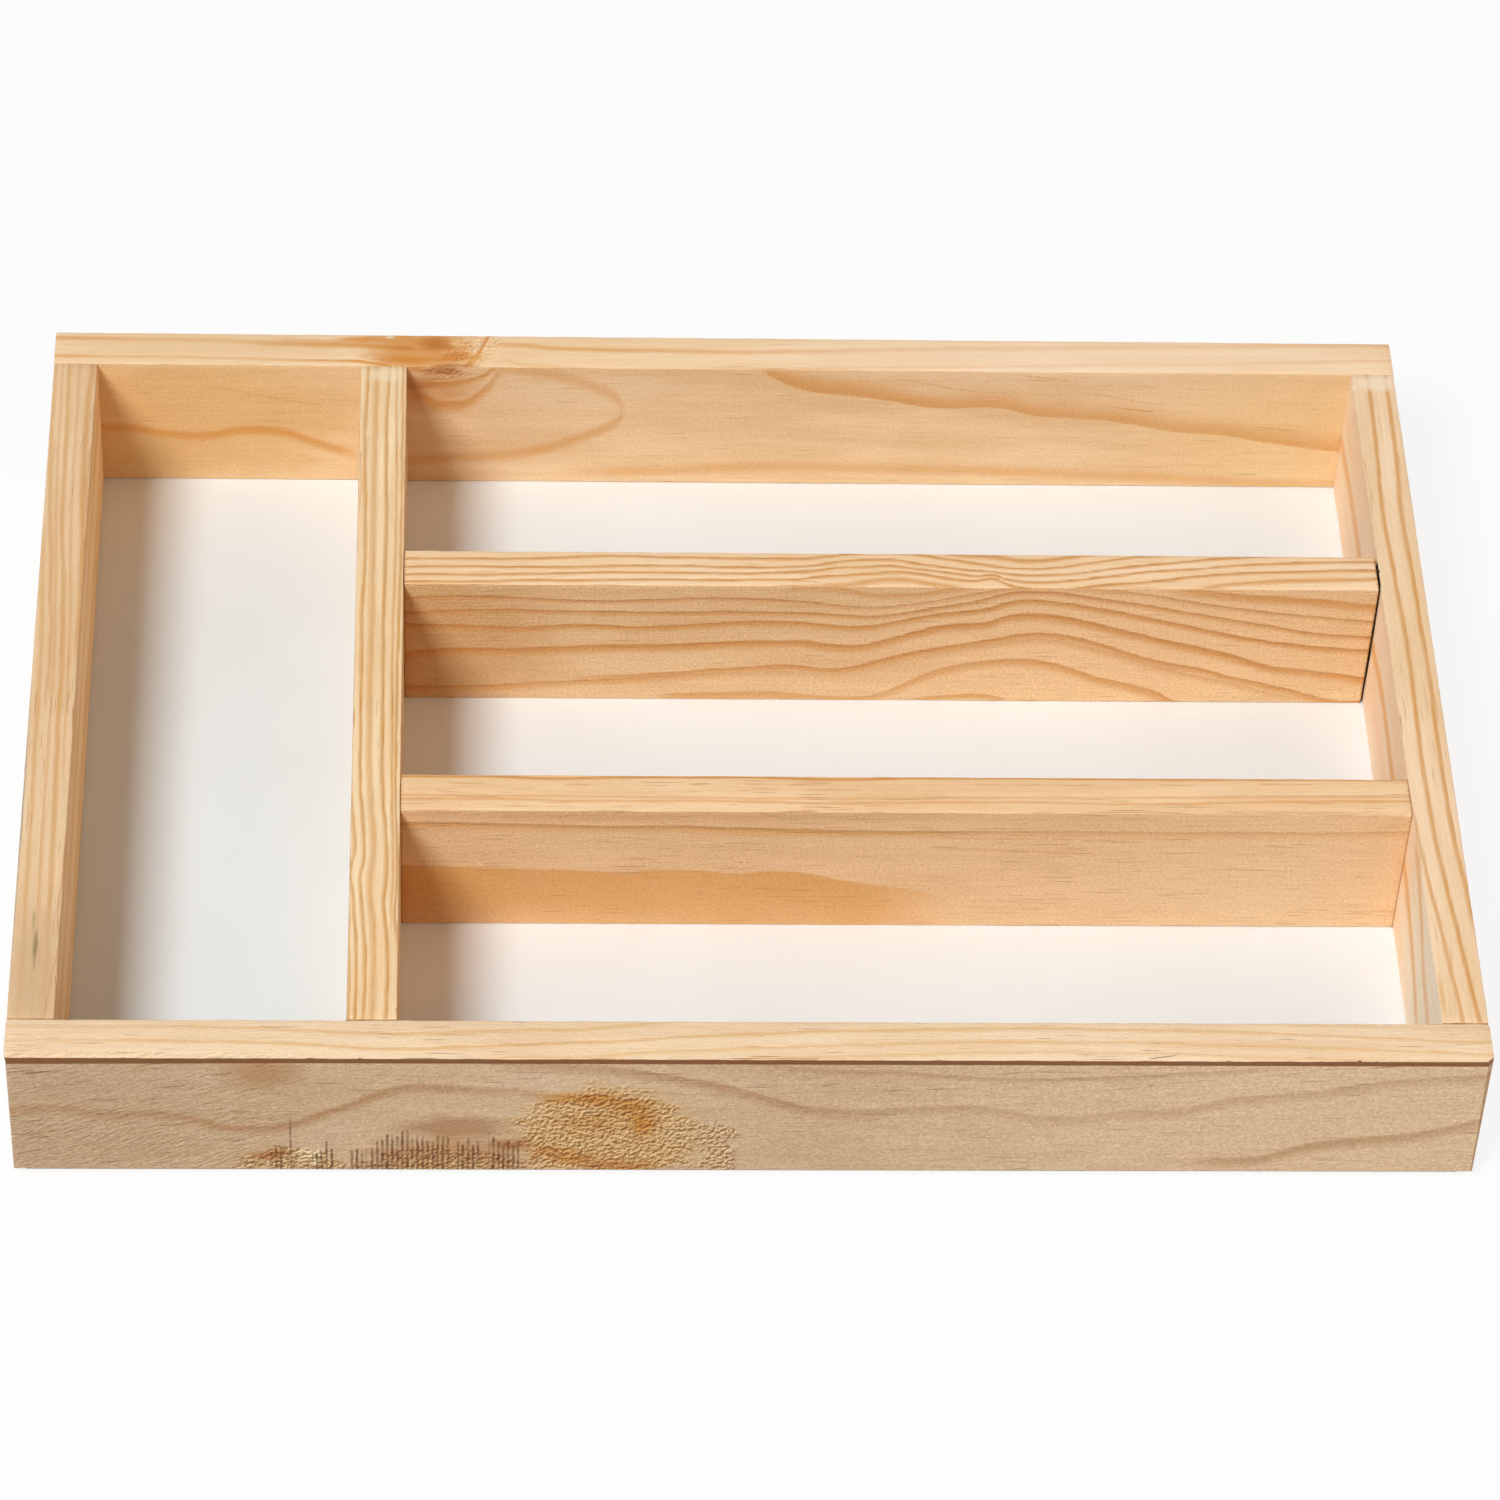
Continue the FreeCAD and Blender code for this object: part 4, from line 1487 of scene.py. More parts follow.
    def back_finish(self) -> PineFinish:
        """The back board's pine: two long flames on its face and a knot in its top."""
        lines = (
            GrainLine(((0, 20), (12, 19.3), (20, 19), (27, 17.5), (33, 16.6), (40, 16.8), (47, 18.5), (53, 18.8),
                       (60, 17.8), (65, 15.5), (70, 13.2), (75, 11.2), (80, 9.5)), 1.7, 2.3, 0.55, 0.1,
                      ((0, 0.8), (70, 1), (82, 0), (350, 0))),
            GrainLine(((88, 7.4), (92, 8), (105, 9.5), (120, 10.8), (127, 12.5), (133, 15), (140, 18.5), (145, 21.5),
                       (148, 25), (148.6, 27)), 2.4, 2.6, 0.36, 0.1,
                      ((0, 0), (86, 0), (92, 0.7), (120, 1), (147, 1), (149, 0), (350, 0))),
            GrainLine(((118, 42), (125, 40.5), (132, 38.8), (138, 36.5), (143, 34), (147, 31), (148.6, 27)),
                      2.6, 2.6, 0.3, 0.0, ((0, 0), (110, 0), (119, 0.9), (147, 1), (149, 0), (350, 0))),
            GrainLine(((180, 44), (183, 42), (187, 39.5), (192, 36.5), (200, 34), (208, 33), (218, 31.5), (224, 30),
                       (232, 29), (245, 29.3), (250, 28.5), (256, 26.5), (265, 25.8), (275, 25), (283, 23.5),
                       (292, 21.5), (300, 20.4), (308, 19.6), (316, 17.8), (325, 16.2), (332, 15), (339, 14.2)),
                      6.5, 0.6, 0.5, 0.1, ((0, 0), (183, 0), (187, 1), (230, 1), (260, 0.85), (350, 0.8))),
            GrainLine(((90, 35.6), (95, 35.9), (103, 36.4), (108.5, 37.8), (112, 39.7), (114.5, 42)), 0.5, 1.8, 0.5,
                      0.35, ((0, 0), (91, 0), (94, 1), (114, 1), (116, 0), (350, 0))),
            GrainLine(((90, 33), (95.3, 32), (99.3, 29.4), (105, 29), (109.7, 32), (113.7, 37), (117, 42)), 1.2, 3.4,
                      0.5, 0.2, ((0, 0), (91, 0), (94, 1), (112, 0.8), (117, 0.3), (119, 0), (350, 0))),
            GrainLine(((130, 4), (140, 4.5), (160, 5), (180, 6.5), (195, 7), (210, 6.3), (230, 6), (260, 5),
                       (285, 4), (310, 2.8), (335, 1.8)), 2.0, 2.4, 0.3, 0.0,
                      ((0, 0), (125, 0), (150, 1), (335, 0.8), (350, 0))),
            GrainLine(((38, 34), (68, 28.2), (150, 28.5), (157.8, 29), (215, 40), (220, 39), (247, 34), (268, 34.5),
                       (290, 30.5)), 0.25, 0.25, 0.6, 0.8,
                      ((0, 0), (37, 0), (42, 0.5), (66, 0.5), (69, 0), (219, 0), (222, 0.5), (245, 0.6), (248, 0),
                       (267, 0), (270, 0.6), (289, 0.6), (291, 0), (350, 0))),
            GrainLine(((240, 41), (252, 40.5), (265, 38.5), (278, 29.3), (288, 27.8), (315, 22.6), (325, 21.3)),
                      0.25, 0.3, 0.6, 0.9,
                      ((0, 0), (251, 0), (254, 0.5), (264, 0.5), (266, 0), (277, 0), (279, 1), (287, 1), (289, 0),
                       (314, 0), (316, 0.7), (325, 0.7), (326, 0), (350, 0))),
            GrainLine(((0, 9.8), (30, 9.5), (45, 9.2), (60, 8.4), (80, 8), (88, 7.2)), 0.8, 1.2, 0.7, 0.2,
                      ((0, 0.8), (85, 1), (92, 0), (350, 0)), True),
            GrainLine(((0, 3.1), (30, 3), (45, 2.8), (55, 2.4), (65, 2.1), (78, 2.1), (83, 1.4), (87, 0.4)), 0.4, 0.9,
                      0.8, 0.35, ((0, 0.7), (55, 0.8), (85, 1), (90, 0), (350, 0)), True),
            GrainLine(((110, 9), (122, 8.5), (130, 7.5), (160, 6.8), (175, 6.6), (200, 7.3), (215, 8), (250, 8.8),
                       (270, 9.5), (310, 10.4), (345, 11.3)), 1.1, 1.3, 0.45, 0.08,
                      ((0, 0), (108, 0), (122, 1), (350, 0.8)), True),
            GrainLine(((117, 3), (120, 1.5), (130, 0.5), (150, -0.6), (170, -0.6), (180, 0.2), (200, 0.8),
                       (215, 1.4), (235, 1.7), (265, 2.6), (280, 3.2), (300, 3.4), (320, 4.2), (350, 5.6)),
                      0.6, 0.9, 0.36, 0.1, ((0, 0), (115, 0), (119, 0.6), (350, 0.8)), True),
            GrainLine(((104, -1.5), (107, 0.5), (109, 3.2), (110.5, 6.2), (111.5, 9), (112.6, 12), (113.2, 14)),
                      1.7, 2.2, 0.65, 0.5, ((0, 0), (104, 0), (105, 1), (112, 1), (114, 0.7), (115, 0), (350, 0)), True),
        )
        knot = paint(188, 112, 44)
        patches = (
            Patch(30, 22, 62, 34, paint(233, 184, 118), 0.75, 0.5, 0.4, True),
            # Painted light: the face is paler towards its right end.
            Patch(330, 20, 62, 34, paint(249, 212, 156), 0.8, 0.6, 0.2, True),
            Patch(40, 48, 55, 9, paint(240, 202, 156), 0.7, 0.6, 0.3),
            Patch(100, 33, 14, 11, paint(212, 142, 74), 0.6, 0.6, 0.1),
            Patch(270, 48, 130, 12, paint(255, 226, 196), 0.5, 0.3, 0.2),
            Patch(94, 48, 20, 13, paint(220, 150, 76), 0.9, 0.6, 0.3),
            Patch(70, 50.5, 26, 2.6, paint(220, 158, 88), 0.6, 0.8, 0.2),
            Patch(101, 40.5, 9, 2.6, paint(176, 110, 56), 0.7, 1.0, 0.2),
            Patch(93, 36, 9, 4.5, paint(190, 122, 66), 0.55, 0.9, 0.3),
            Patch(92, 44.5, 14, 2.2, paint(214, 140, 60), 0.9, 0.7, 0.1),
            Patch(80, 52, 10, 1.6, paint(222, 146, 66), 0.8, 0.7, 0.1),
            Patch(99, 50.5, 7, 4, knot, 0.8, 0.9, 0.1),
            Patch(108, 45.5, 7, 3.4, paint(232, 172, 104), 0.8, 0.9, 0.1),
            Patch(104, 42.6, 8, 1.2, paint(170, 104, 48), 0.7, 1.2, 0.1),
            Patch(104, 46, 6, 3.4, paint(206, 132, 56), 0.8, 0.9, 0.1),
            Patch(90, 49, 6, 1.4, knot, 0.6, 1.2, 0.1),
            Patch(104.5, 51, 2.6, 2.2, paint(240, 196, 132), 0.8, 0.6, 0.1),
            Patch(87, 53, 1.8, 0.6, paint(255, 240, 214), 0.9, 0.8, 0.1),
        )
        return PineFinish(
            PineTint(paint(250, 214, 170), paint(240, 200, 151), paint(224, 150, 62), paint(178, 112, 52)),
            PineTint(paint(254, 222, 184), paint(247, 209, 164), paint(226, 156, 78), paint(190, 116, 46)),
            lines, patches, canals=0.08, richness=1.4, fuzz=0.22, speckle=0.1,
            knots_through=True, torn_share=0.36, torn_depth=0.5,
            torn_areas=((107.5, 47.5, 9.0, 8.0), (101.0, 40.0, 10.0, 3.6), (112.0, 51.0, 6.0, 6.0)))

    def left_finish(self) -> PineFinish:
        """The left board's pine: yellowish, with soft lines on its top."""
        lines = (
            GrainLine(((20, 2.9), (30, 3.1), (60, 3.3), (90, 4), (110, 4.1), (125, 4.3), (140, 4.8), (150, 5.5),
                       (160, 6.2), (175, 6.7), (190, 6.8), (215, 7.3)), 0.7, 1.0, 0.55, 0.05,
                      ((0, 0.4), (40, 1), (222, 1)), True),
            GrainLine(((110, 0.2), (120, 0.4), (155, 0.7), (165, 1.3), (180, 1.8), (195, 2), (210, 1.8), (220, 1.3)),
                      1.0, 1.1, 0.6, 0.12, ((0, 0), (108, 0), (125, 1), (222, 1)), True),
            GrainLine(((100, 7.1), (110, 7.2), (125, 7.3), (140, 8.2), (155, 8.7), (165, 9.5), (180, 10.2),
                       (200, 10.9)), 0.6, 0.9, 0.5, 0.05, ((0, 0), (98, 0), (112, 1), (222, 0.8)), True),
            GrainLine(((20, 8.6), (30, 8.7), (80, 9.2), (110, 9.5), (125, 9.7), (140, 10.3), (155, 10.8)),
                      0.6, 0.9, 0.45, 0.05, ((0, 0.5), (40, 1), (155, 0.8), (170, 0), (222, 0)), True),
            GrainLine(((20, 5.6), (60, 6), (110, 6.1), (140, 6.9), (160, 7.8), (190, 8.7), (215, 9.1)),
                      0.4, 0.7, 0.4, 0.1, ((0, 0.4), (60, 1), (222, 0.8)), True),
            GrainLine(((60, 1.8), (100, 2.4), (130, 2.7), (160, 4), (185, 4.5), (215, 4.6)),
                      0.4, 0.7, 0.4, 0.1, ((0, 0), (60, 0), (90, 1), (222, 0.8)), True),
            GrainLine(((0, 2.5), (8, 1.8), (15, 1.3), (20, 0.4), (35, 0.9), (50, 0.3), (75, 0.3)), 0.25, 0.35,
                      0.6, 0.6, ((0, 0.8), (20, 1), (60, 0.8), (80, 0), (222, 0)), True),
            GrainLine(((0, 30), (60, 28), (140, 29), (222, 33)), 1.6, 2.6, 0.4, 0.0),
            GrainLine(((0, 14), (80, 12), (160, 13), (222, 16)), 1.4, 2.2, 0.35, 0.0),
        )
        patches = (
            Patch(14, 48, 34, 11, paint(208, 172, 132), 0.7, 0.6, 0.2),
            # Painted shade: a thin grey line along the outer top edge, for the shaded outer face just seen past it.
            Patch(60, 53.4, 62, 0.9, paint(146, 132, 120), 0.8, 0.5, 0.3),
            Patch(22, 47.6, 8, 0.8, paint(120, 104, 66), 0.65, 1.4, 0.1),
            Patch(30, 48.4, 6, 0.6, paint(140, 122, 78), 0.5, 1.4, 0.1),
        )
        return PineFinish(
            PineTint(paint(252, 216, 168), paint(242, 202, 148), paint(214, 154, 86), paint(164, 112, 62)),
            PineTint(paint(242, 208, 168), paint(234, 196, 153), paint(214, 158, 96), paint(180, 126, 70)),
            lines, patches, canals=0.11, edge_wear=0.6, fuzz=0.2)

    def right_finish(self) -> PineFinish:
        """The right board's pine: pale cream, with two pairs of lines on its top."""
        lines = (
            GrainLine(((0, 9.3), (5, 8.8), (20, 7.7), (35, 6.5), (45, 5.8), (55, 5), (70, 4.5), (90, 4.4),
                       (120, 4.8), (135, 4.3), (150, 3.9), (175, 3.4), (190, 4), (200, 4.3), (221, 4.4)),
                      0.6, 0.9, 0.6, 0.2, on_top=True),
            GrainLine(((25, 12), (35, 11), (45, 10.4), (55, 9.7), (70, 9.2), (90, 9), (115, 9.4), (130, 9),
                       (150, 8.7), (170, 8.1), (185, 8.7), (200, 9.2), (221, 9.2)), 0.6, 0.9, 0.55, 0.2,
                      ((0, 0), (25, 0.5), (45, 1), (222, 1)), True),
            GrainLine(((0, 5.2), (15, 4.2), (30, 3), (45, 1.8), (55, 0.9), (65, 0.4), (75, -0.6)), 0.5, 0.8, 0.5,
                      0.15, ((0, 1), (62, 1), (80, 0), (222, 0)), True),
            GrainLine(((10, 25), (15, 27), (25, 29), (35, 34), (45, 38), (55, 41)), 2.6, 3.4, 0.55, 0.0,
                      ((0, 0), (10, 0.6), (55, 0.9), (60, 0), (222, 0))),
            GrainLine(((20, 12), (25, 14), (35, 18), (50, 22), (60, 24), (95, 25), (120, 26), (130, 25), (140, 23),
                       (175, 22), (205, 21), (221, 19)), 2.6, 3.4, 0.55, 0.0,
                      ((0, 0), (15, 0), (30, 1), (222, 0.9))),
        )
        patches = (
            Patch(8, 43, 9, 0.9, paint(222, 166, 102), 0.6, 0.8, 0.1),
            Patch(219, 48, 4.5, 8, paint(253, 230, 202), 0.75, 0.9, 0.4),
            # Painted shadow: a near-black patch on the face behind the rear cross divider's rough end, so that the gap
            # there looks dark.
            Patch(149, 20, 6.25, 30, paint(44, 30, 20), 0.95, 0.0, 0.94, True),
            # Painted light: the face is paler near its front end, for the stronger light there.
            Patch(10, 24, 60, 50, paint(255, 238, 212), 0.9, 0.3, 0.3, True),
        )
        return PineFinish(
            PineTint(paint(255, 226, 194), paint(255, 217, 178), paint(240, 172, 92), paint(180, 130, 80)),
            PineTint(paint(252, 221, 186), paint(242, 207, 165), paint(216, 154, 82), paint(184, 122, 58)),
            lines, patches, canals=0.09, richness=1.4)

    def build(self, effects: SharedEffects) -> list[bpy.types.Object]:
        """Models and dresses the four boards.

        Args:
            effects: The shared node groups.

        Returns:
            The boards.
        """
        front = LippedBoard(
            "front_board", Showing.FRONT, self.front_finish(), self.arris, rub=self.front_rub,
            chips=(Chip(28, 2.4, 0.5), Chip(31, 1.4, 0.45), Chip(50, 2.2, 0.5), Chip(71.5, 4.2, 0.55),
                   Chip(83, 1.6, 0.6), Chip(287, 2.6, 0.5), Chip(309, 2.0, 0.5), Chip(318, 1.4, 0.8),
                   Chip(322, 1.6, 0.5), Chip(335, 2.2, 0.5)))
        back = Board("back_board", Showing.FRONT, self.back_finish(), self.arris)
        left = Board("left_board", Showing.RIGHT, self.left_finish(), self.arris,
                     chips=(Chip(12, 5.0, 0.5), Chip(36, 6.0, 0.4), Chip(58, 3.0, 0.4)))
        right = Board("right_board", Showing.LEFT, self.right_finish(), self.arris,
                      chips=(Chip(217, 2.4, 0.8), Chip(150, 1.6, 0.5)))
        return [board.make(effects) for board in (front, back, left, right)]


@dataclass
class Dividers:
    """The three boards that part the tray into four compartments."""

    arris: float = 0.3
    ragged_end: float = 0.75

    def long_finish(self) -> PineFinish:
        """The long divider's pine: many even lines along its top."""
        lines = (
            GrainLine(((0, 9.4), (10, 9.7), (20, 9.7), (27, 9.3), (32, 8.7), (37, 8.4), (42, 8.8), (48, 9.1),
                       (62, 8.6), (70, 8.1), (78, 7.7), (111, 7.5), (130, 7.3), (160, 7.6), (195, 7.2),
                       (221, 7.7)), 0.45, 0.9, 0.62, 0.35, on_top=True),
            GrainLine(((0, 6.2), (20, 6.4), (30, 6.1), (40, 5.2), (55, 5.9), (63, 5.5), (70, 5), (80, 4.6),
                       (125, 4.3), (221, 4.4)), 0.8, 1.3, 0.45, 0.15, on_top=True),
            GrainLine(((0, 4.1), (12, 4.4), (22, 4.2), (30, 3.6), (38, 3.2), (45, 2.9), (50, 3.4), (57, 3.4),
                       (65, 2.9), (75, 2.4), (111, 2.1), (130, 1.8), (155, 2.3), (200, 1.7), (218, 2.1)),
                      0.45, 0.8, 0.58, 0.32, on_top=True),
            GrainLine(((0, 2.2), (15, 2.3), (25, 2), (33, 1.4), (40, 1.1), (47, 0.4), (53, 1.2), (60, 1),
                       (68, 0.4)), 0.4, 0.7, 0.65, 0.35, ((0, 1), (68, 0.8), (80, 0), (222, 0)), True),
            GrainLine(((0, 0.6), (15, 0.6), (30, 0.3)), 0.4, 0.6, 0.55, 0.3,
                      ((0, 1), (30, 0.8), (40, 0), (222, 0)), True),
            GrainLine(((15, 12.2), (25, 11.8), (33, 11.1), (40, 11.4), (50, 11.5), (70, 11), (90, 10.8),
                       (111, 10.9), (160, 11.2), (222, 11.3)), 0.35, 0.6, 0.6, 0.3,
                      ((0, 0), (20, 0.5), (35, 1), (222, 0.8)), True),
            GrainLine(((30, 10.4), (35, 10.2), (45, 10.5), (80, 10), (120, 9.7), (160, 9.9), (222, 9.6)), 0.35, 0.6,
                      0.5, 0.25, ((0, 0), (30, 0.4), (45, 1), (222, 0.8)), True),
            GrainLine(((0, 31), (80, 29), (150, 32), (222, 30)), 1.4, 2.2, 0.5, 0.2),
            GrainLine(((0, 17), (80, 19), (150, 16), (222, 18)), 1.4, 2.2, 0.5, 0.2),
        )
        patches = (Patch(219, 48, 4, 7, paint(250, 228, 192), 0.6, 0.9, 0.3),)
        return PineFinish(
            PineTint(paint(236, 200, 152), paint(226, 186, 136), paint(208, 156, 98), paint(164, 112, 62)),
            PineTint(paint(254, 224, 182), paint(246, 210, 164), paint(216, 160, 94), paint(176, 120, 64)),
            lines, patches, canals=0.09, richness=1.4)

    def front_cross_finish(self) -> PineFinish:
        """The front cross divider's pine: plain, with one large orange flame low on its face."""
        lines = (
            GrainLine(((0, 37.6), (15, 37.4), (30, 37), (50, 36.5), (70, 36.7), (75, 36.3), (90, 35.8), (105, 35.3),
                       (124, 35.2), (150, 35.4), (200, 35.3), (235, 35.7), (247, 36)), 0.35, 2.6, 0.5, 0.6,
                      ((0, 1), (124, 1), (150, 0.65), (247, 0.6))),
            GrainLine(((0, 37.9), (15, 37.7), (30, 37.3), (50, 36.8), (70, 37), (75, 36.6), (90, 36.1), (105, 35.6),
                       (124, 35.5), (247, 36)), 0.16, 0.2, 0.7, 0.9,
                      ((0, 0.8), (40, 1), (60, 0.5), (80, 1), (110, 0.7), (130, 0), (247, 0))),
            GrainLine(((0, 21.5), (15, 21), (30, 20.3), (45, 19.6), (55, 19), (62, 20), (75, 19.6), (82, 18.8),
                       (92, 19.8), (100, 19), (107, 17), (115, 15.2), (124, 13.5), (130, 12), (135, 9), (140, 4)),
                      0.8, 26.0, 0.8, 0.0, ((0, 0.9), (60, 0.85), (108, 0.85), (122, 0.55), (133, 0.2), (142, 0), (247, 0))),
            GrainLine(((130, 29), (145, 32.4), (153, 32.4), (158, 30.8), (163, 30.8), (167, 32), (175, 32),
                       (185, 28), (197, 28), (212, 30.2), (217, 30.2), (221, 28.6), (224, 28.6), (235, 6.5),
                       (245, 6.5)), 0.25, 0.3, 0.55, 0.8,
                      ((0, 0), (144, 0), (146, 0.8), (152, 0.8), (154, 0), (157, 0), (159, 0.8), (163, 0.8),
                       (164, 0), (166, 0), (168, 0.7), (174, 0.7), (176, 0), (184, 0), (187, 0.7), (196, 0.7),
                       (198, 0), (211, 0), (213, 0.7), (216, 0.7), (218, 0), (234, 0), (236, 0.7), (245, 0.7))),
            GrainLine(((128, 29), (170, 27.5), (180, 27)), 0.3, 0.8, 0.4, 0.5,
                      ((0, 0), (129, 0), (134, 0.6), (168, 0.8), (173, 0), (247, 0))),
            GrainLine(((0, 11.3), (25, 11.3), (40, 10.7), (50, 11.2), (65, 11.5), (90, 11.5), (100, 11), (124, 11.5),
                       (175, 11.6), (247, 11.9)), 0.5, 0.7, 0.8, 0.3, on_top=True),
            GrainLine(((12, 9), (20, 9), (40, 8.7), (46, 8.7), (71, 9.2), (75, 9.2), (95, 9.2), (103, 9.2),
                       (140, 9.3), (170, 9.3), (210, 10.1), (224, 10.1)), 0.25, 0.3, 0.55, 0.7,
                      ((0, 0), (11, 0), (13, 0.7), (19, 0.7), (21, 0), (39, 0), (41, 0.6), (45, 0.6), (47, 0),
                       (70, 0), (71, 1), (75, 1), (76, 0), (94, 0), (96, 0.6), (102, 0.6), (104, 0), (139, 0),
                       (142, 0.5), (168, 0.5), (171, 0), (209, 0), (212, 0.6), (223, 0.6), (225, 0), (247, 0)),
                      True),
            GrainLine(((0, 3.8), (15, 4), (50, 3.4), (80, 3.6), (100, 3.2), (124, 3.3), (140, 3.5), (155, 3.6),
                       (180, 3.2), (195, 3.6), (205, 4), (220, 4.3), (247, 4.6)), 0.5, 0.6, 0.45, 0.1, on_top=True),
            GrainLine(((0, 5.1), (50, 4.8), (100, 4.6), (150, 5), (200, 5.6), (247, 6.2)), 0.5, 0.6, 0.35, 0.1,
                      on_top=True),
        )
        patches = (
            # Painted light: the face is paler towards its right end.
            Patch(215, 20, 70, 40, paint(252, 212, 166), 0.75, 0.4, 0.3, True),
            Patch(60, 41, 100, 3.6, paint(226, 174, 120), 0.6, 0.3, 0.3, True),
            Patch(223, 42.6, 30, 0.8, paint(196, 142, 88), 0.5, 0.8, 0.1),
        )
        return PineFinish(
            PineTint(paint(250, 206, 160), paint(242, 197, 148), paint(232, 165, 88), paint(150, 98, 54)),
            PineTint(paint(250, 212, 168), paint(242, 199, 152), paint(220, 154, 84), paint(172, 108, 50)),
            lines, patches, canals=0.12, canal_depth=0.05, fuzz=0.28, strokes=0.12, speckle=0.15, foot=0.25, butt_shade=0.6)

    def rear_cross_finish(self) -> PineFinish:
        """The rear cross divider's pine: sweeping dark-edged lines, crowded along its top."""
        lines = (
            GrainLine(((0, 37.2), (15, 37.8), (30, 37.3), (48, 36.4), (75, 37.6), (100, 36.7), (117, 34.6),
                       (130, 36.2), (145, 40), (155, 42), (165, 42.6), (175, 41.6), (187, 40.2), (200, 37.2),
                       (212, 34.8), (230, 32.6), (247, 30.6)), 0.4, 1.5, 0.5, 0.8,
                      ((0, 0.8), (40, 1), (90, 0.9), (120, 0.75), (170, 0.6), (200, 0.85), (247, 0.9))),
            GrainLine(((0, 31.8), (10, 32.3), (25, 33), (40, 32.6), (50, 32.3), (95, 32.6), (110, 31.8),
                       (119, 31.3), (128, 33), (140, 36), (147, 38), (153, 40.2), (160, 40.7), (168, 39.9),
                       (177, 38), (190, 35.6), (200, 33.2), (212, 30.5), (222, 28.5), (230, 26.5), (240, 25.4),
                       (247, 25)), 0.4, 1.6, 0.6, 0.65),
            GrainLine(((0, 27.5), (15, 27), (30, 26.8), (45, 27.4), (60, 27), (75, 28.2), (90, 29.2), (100, 29),
                       (110, 27.6), (118, 27.8), (125, 29.5), (135, 32.3), (148, 34.6), (152, 36.3), (158, 37.6),
                       (165, 37), (175, 35), (183, 33), (190, 31.2), (200, 28.5), (210, 25.6), (220, 23.2),
                       (230, 21.4), (240, 20.4), (247, 20)), 0.45, 2.0, 0.7, 0.5),
            GrainLine(((0, 17), (12, 18.5), (30, 18.8), (50, 20), (70, 20.6), (90, 22), (100, 22.2), (110, 20.8),
                       (116, 20.8), (122, 22.5), (130, 25.8), (137, 28), (148, 29.3), (153, 31.8), (160, 32.6),
                       (168, 31.5), (175, 29.5), (185, 26), (195, 22.7), (205, 20), (215, 16.5), (222, 13.8),
                       (232, 12.3), (240, 11), (247, 9.8)), 0.5, 2.8, 0.75, 0.45),
            GrainLine(((30, 7), (40, 8), (60, 9.5), (75, 11), (90, 12.6), (100, 13), (108, 12), (113, 12.3),
                       (120, 14.8), (130, 18.4), (140, 21), (150, 23.2), (157, 25), (163, 25.6), (170, 24.4),
                       (178, 21.5), (187, 17.5), (195, 15), (205, 12.6), (212, 10), (220, 7.6), (228, 5),
                       (235, 2.5), (240, 1)), 0.45, 2.4, 0.65, 0.4,
                      ((0, 0), (30, 0), (50, 0.6), (75, 1), (247, 1))),
            GrainLine(((0, 4.5), (20, 5), (35, 6.3), (50, 7.5), (70, 9.3), (100, 10.6), (112, 10), (130, 16.2),
                       (157, 22.8), (163, 23.4), (178, 19.3), (195, 12.8), (212, 7.8), (228, 2.8)),
                      0.3, 2.2, 0.6, 0.45,
                      ((0, 1), (60, 0.9), (90, 0.5), (120, 0.3), (160, 0.6), (200, 0.6), (228, 0.4), (247, 0))),
            GrainLine(((60, 1.5), (65, 2), (80, 2.6), (95, 3), (110, 1.5), (120, 2), (125, 4.5), (130, 8), (135, 11),
                       (142, 13.6), (150, 15.2), (157, 16), (163, 15.2), (170, 13), (177, 9.6), (185, 7), (193, 4),
                       (200, 0)), 0.5, 3.0, 0.65, 0.25,
                      ((0, 0), (62, 0), (72, 0.8), (110, 0.7), (130, 0.8), (170, 1), (200, 1), (247, 0))),
            GrainLine(((130, 0.6), (135, 1.5), (145, 2.6), (150, 2.4), (155, 1)), 0.4, 2.0, 0.7, 0.2,
                      ((0, 0), (128, 0), (134, 0.8), (152, 0.8), (156, 0), (247, 0))),
            GrainLine(((95, 41.5), (110, 41.5), (118, 39.5), (130, 39.8), (140, 42), (150, 43)), 0.5, 1.8, 0.6, 0.2,
                      ((0, 0), (92, 0), (100, 0.7), (140, 0.8), (148, 0), (247, 0))),
            GrainLine(((190, 43), (197, 42), (212, 40), (230, 38.6), (247, 36.5)), 0.6, 2.8, 0.7, 0.2,
                      ((0, 0), (188, 0), (200, 0.8), (247, 1))),
            GrainLine(((0, 1), (20, 1.2), (30, 1.6), (60, 2.1), (90, 2.5), (100, 2.9), (104, 3.6), (118, 4.8),
                       (124, 5.4), (130, 4.6), (137, 3.2), (144, 2.4), (149, 3.2), (151, 2), (153, 0.8),
                       (156, 0.2), (163, -0.6), (170, 0.2), (176, 1.2), (185, 2.2), (193, 3.4), (203, 5),
                       (213, 5.8), (225, 6.4), (247, 7.2)), 0.5, 0.9, 0.7, 0.75, on_top=True),
            GrainLine(((0, 3.4), (30, 3.8), (50, 4.6), (75, 4.6), (90, 4.8), (100, 5.2), (105, 5.8), (110, 6.9),
                       (117, 7.3), (124, 7.5), (130, 6.4), (138, 5), (144, 4.1), (149, 4.3), (152, 3), (157, 2.2),
                       (165, 2.4), (172, 3.3), (180, 4.6), (190, 6.2), (200, 7.2), (210, 8.6), (222, 9.4),
                       (247, 10.1)), 0.5, 0.8, 0.7, 0.75, on_top=True),
            GrainLine(((0, 6), (15, 6.4), (30, 6.2), (45, 6.6), (60, 7.2), (100, 7.2), (105, 8), (112, 9.5),
                       (124, 9.7), (128, 9), (135, 7.6), (142, 6.2), (148, 5.8), (153, 4.7), (158, 4.4),
                       (165, 4.8), (172, 5.6), (180, 7.2), (190, 8.6), (200, 10.1), (210, 11.4), (222, 12.2)),
                      0.5, 0.8, 0.7, 0.7, on_top=True),
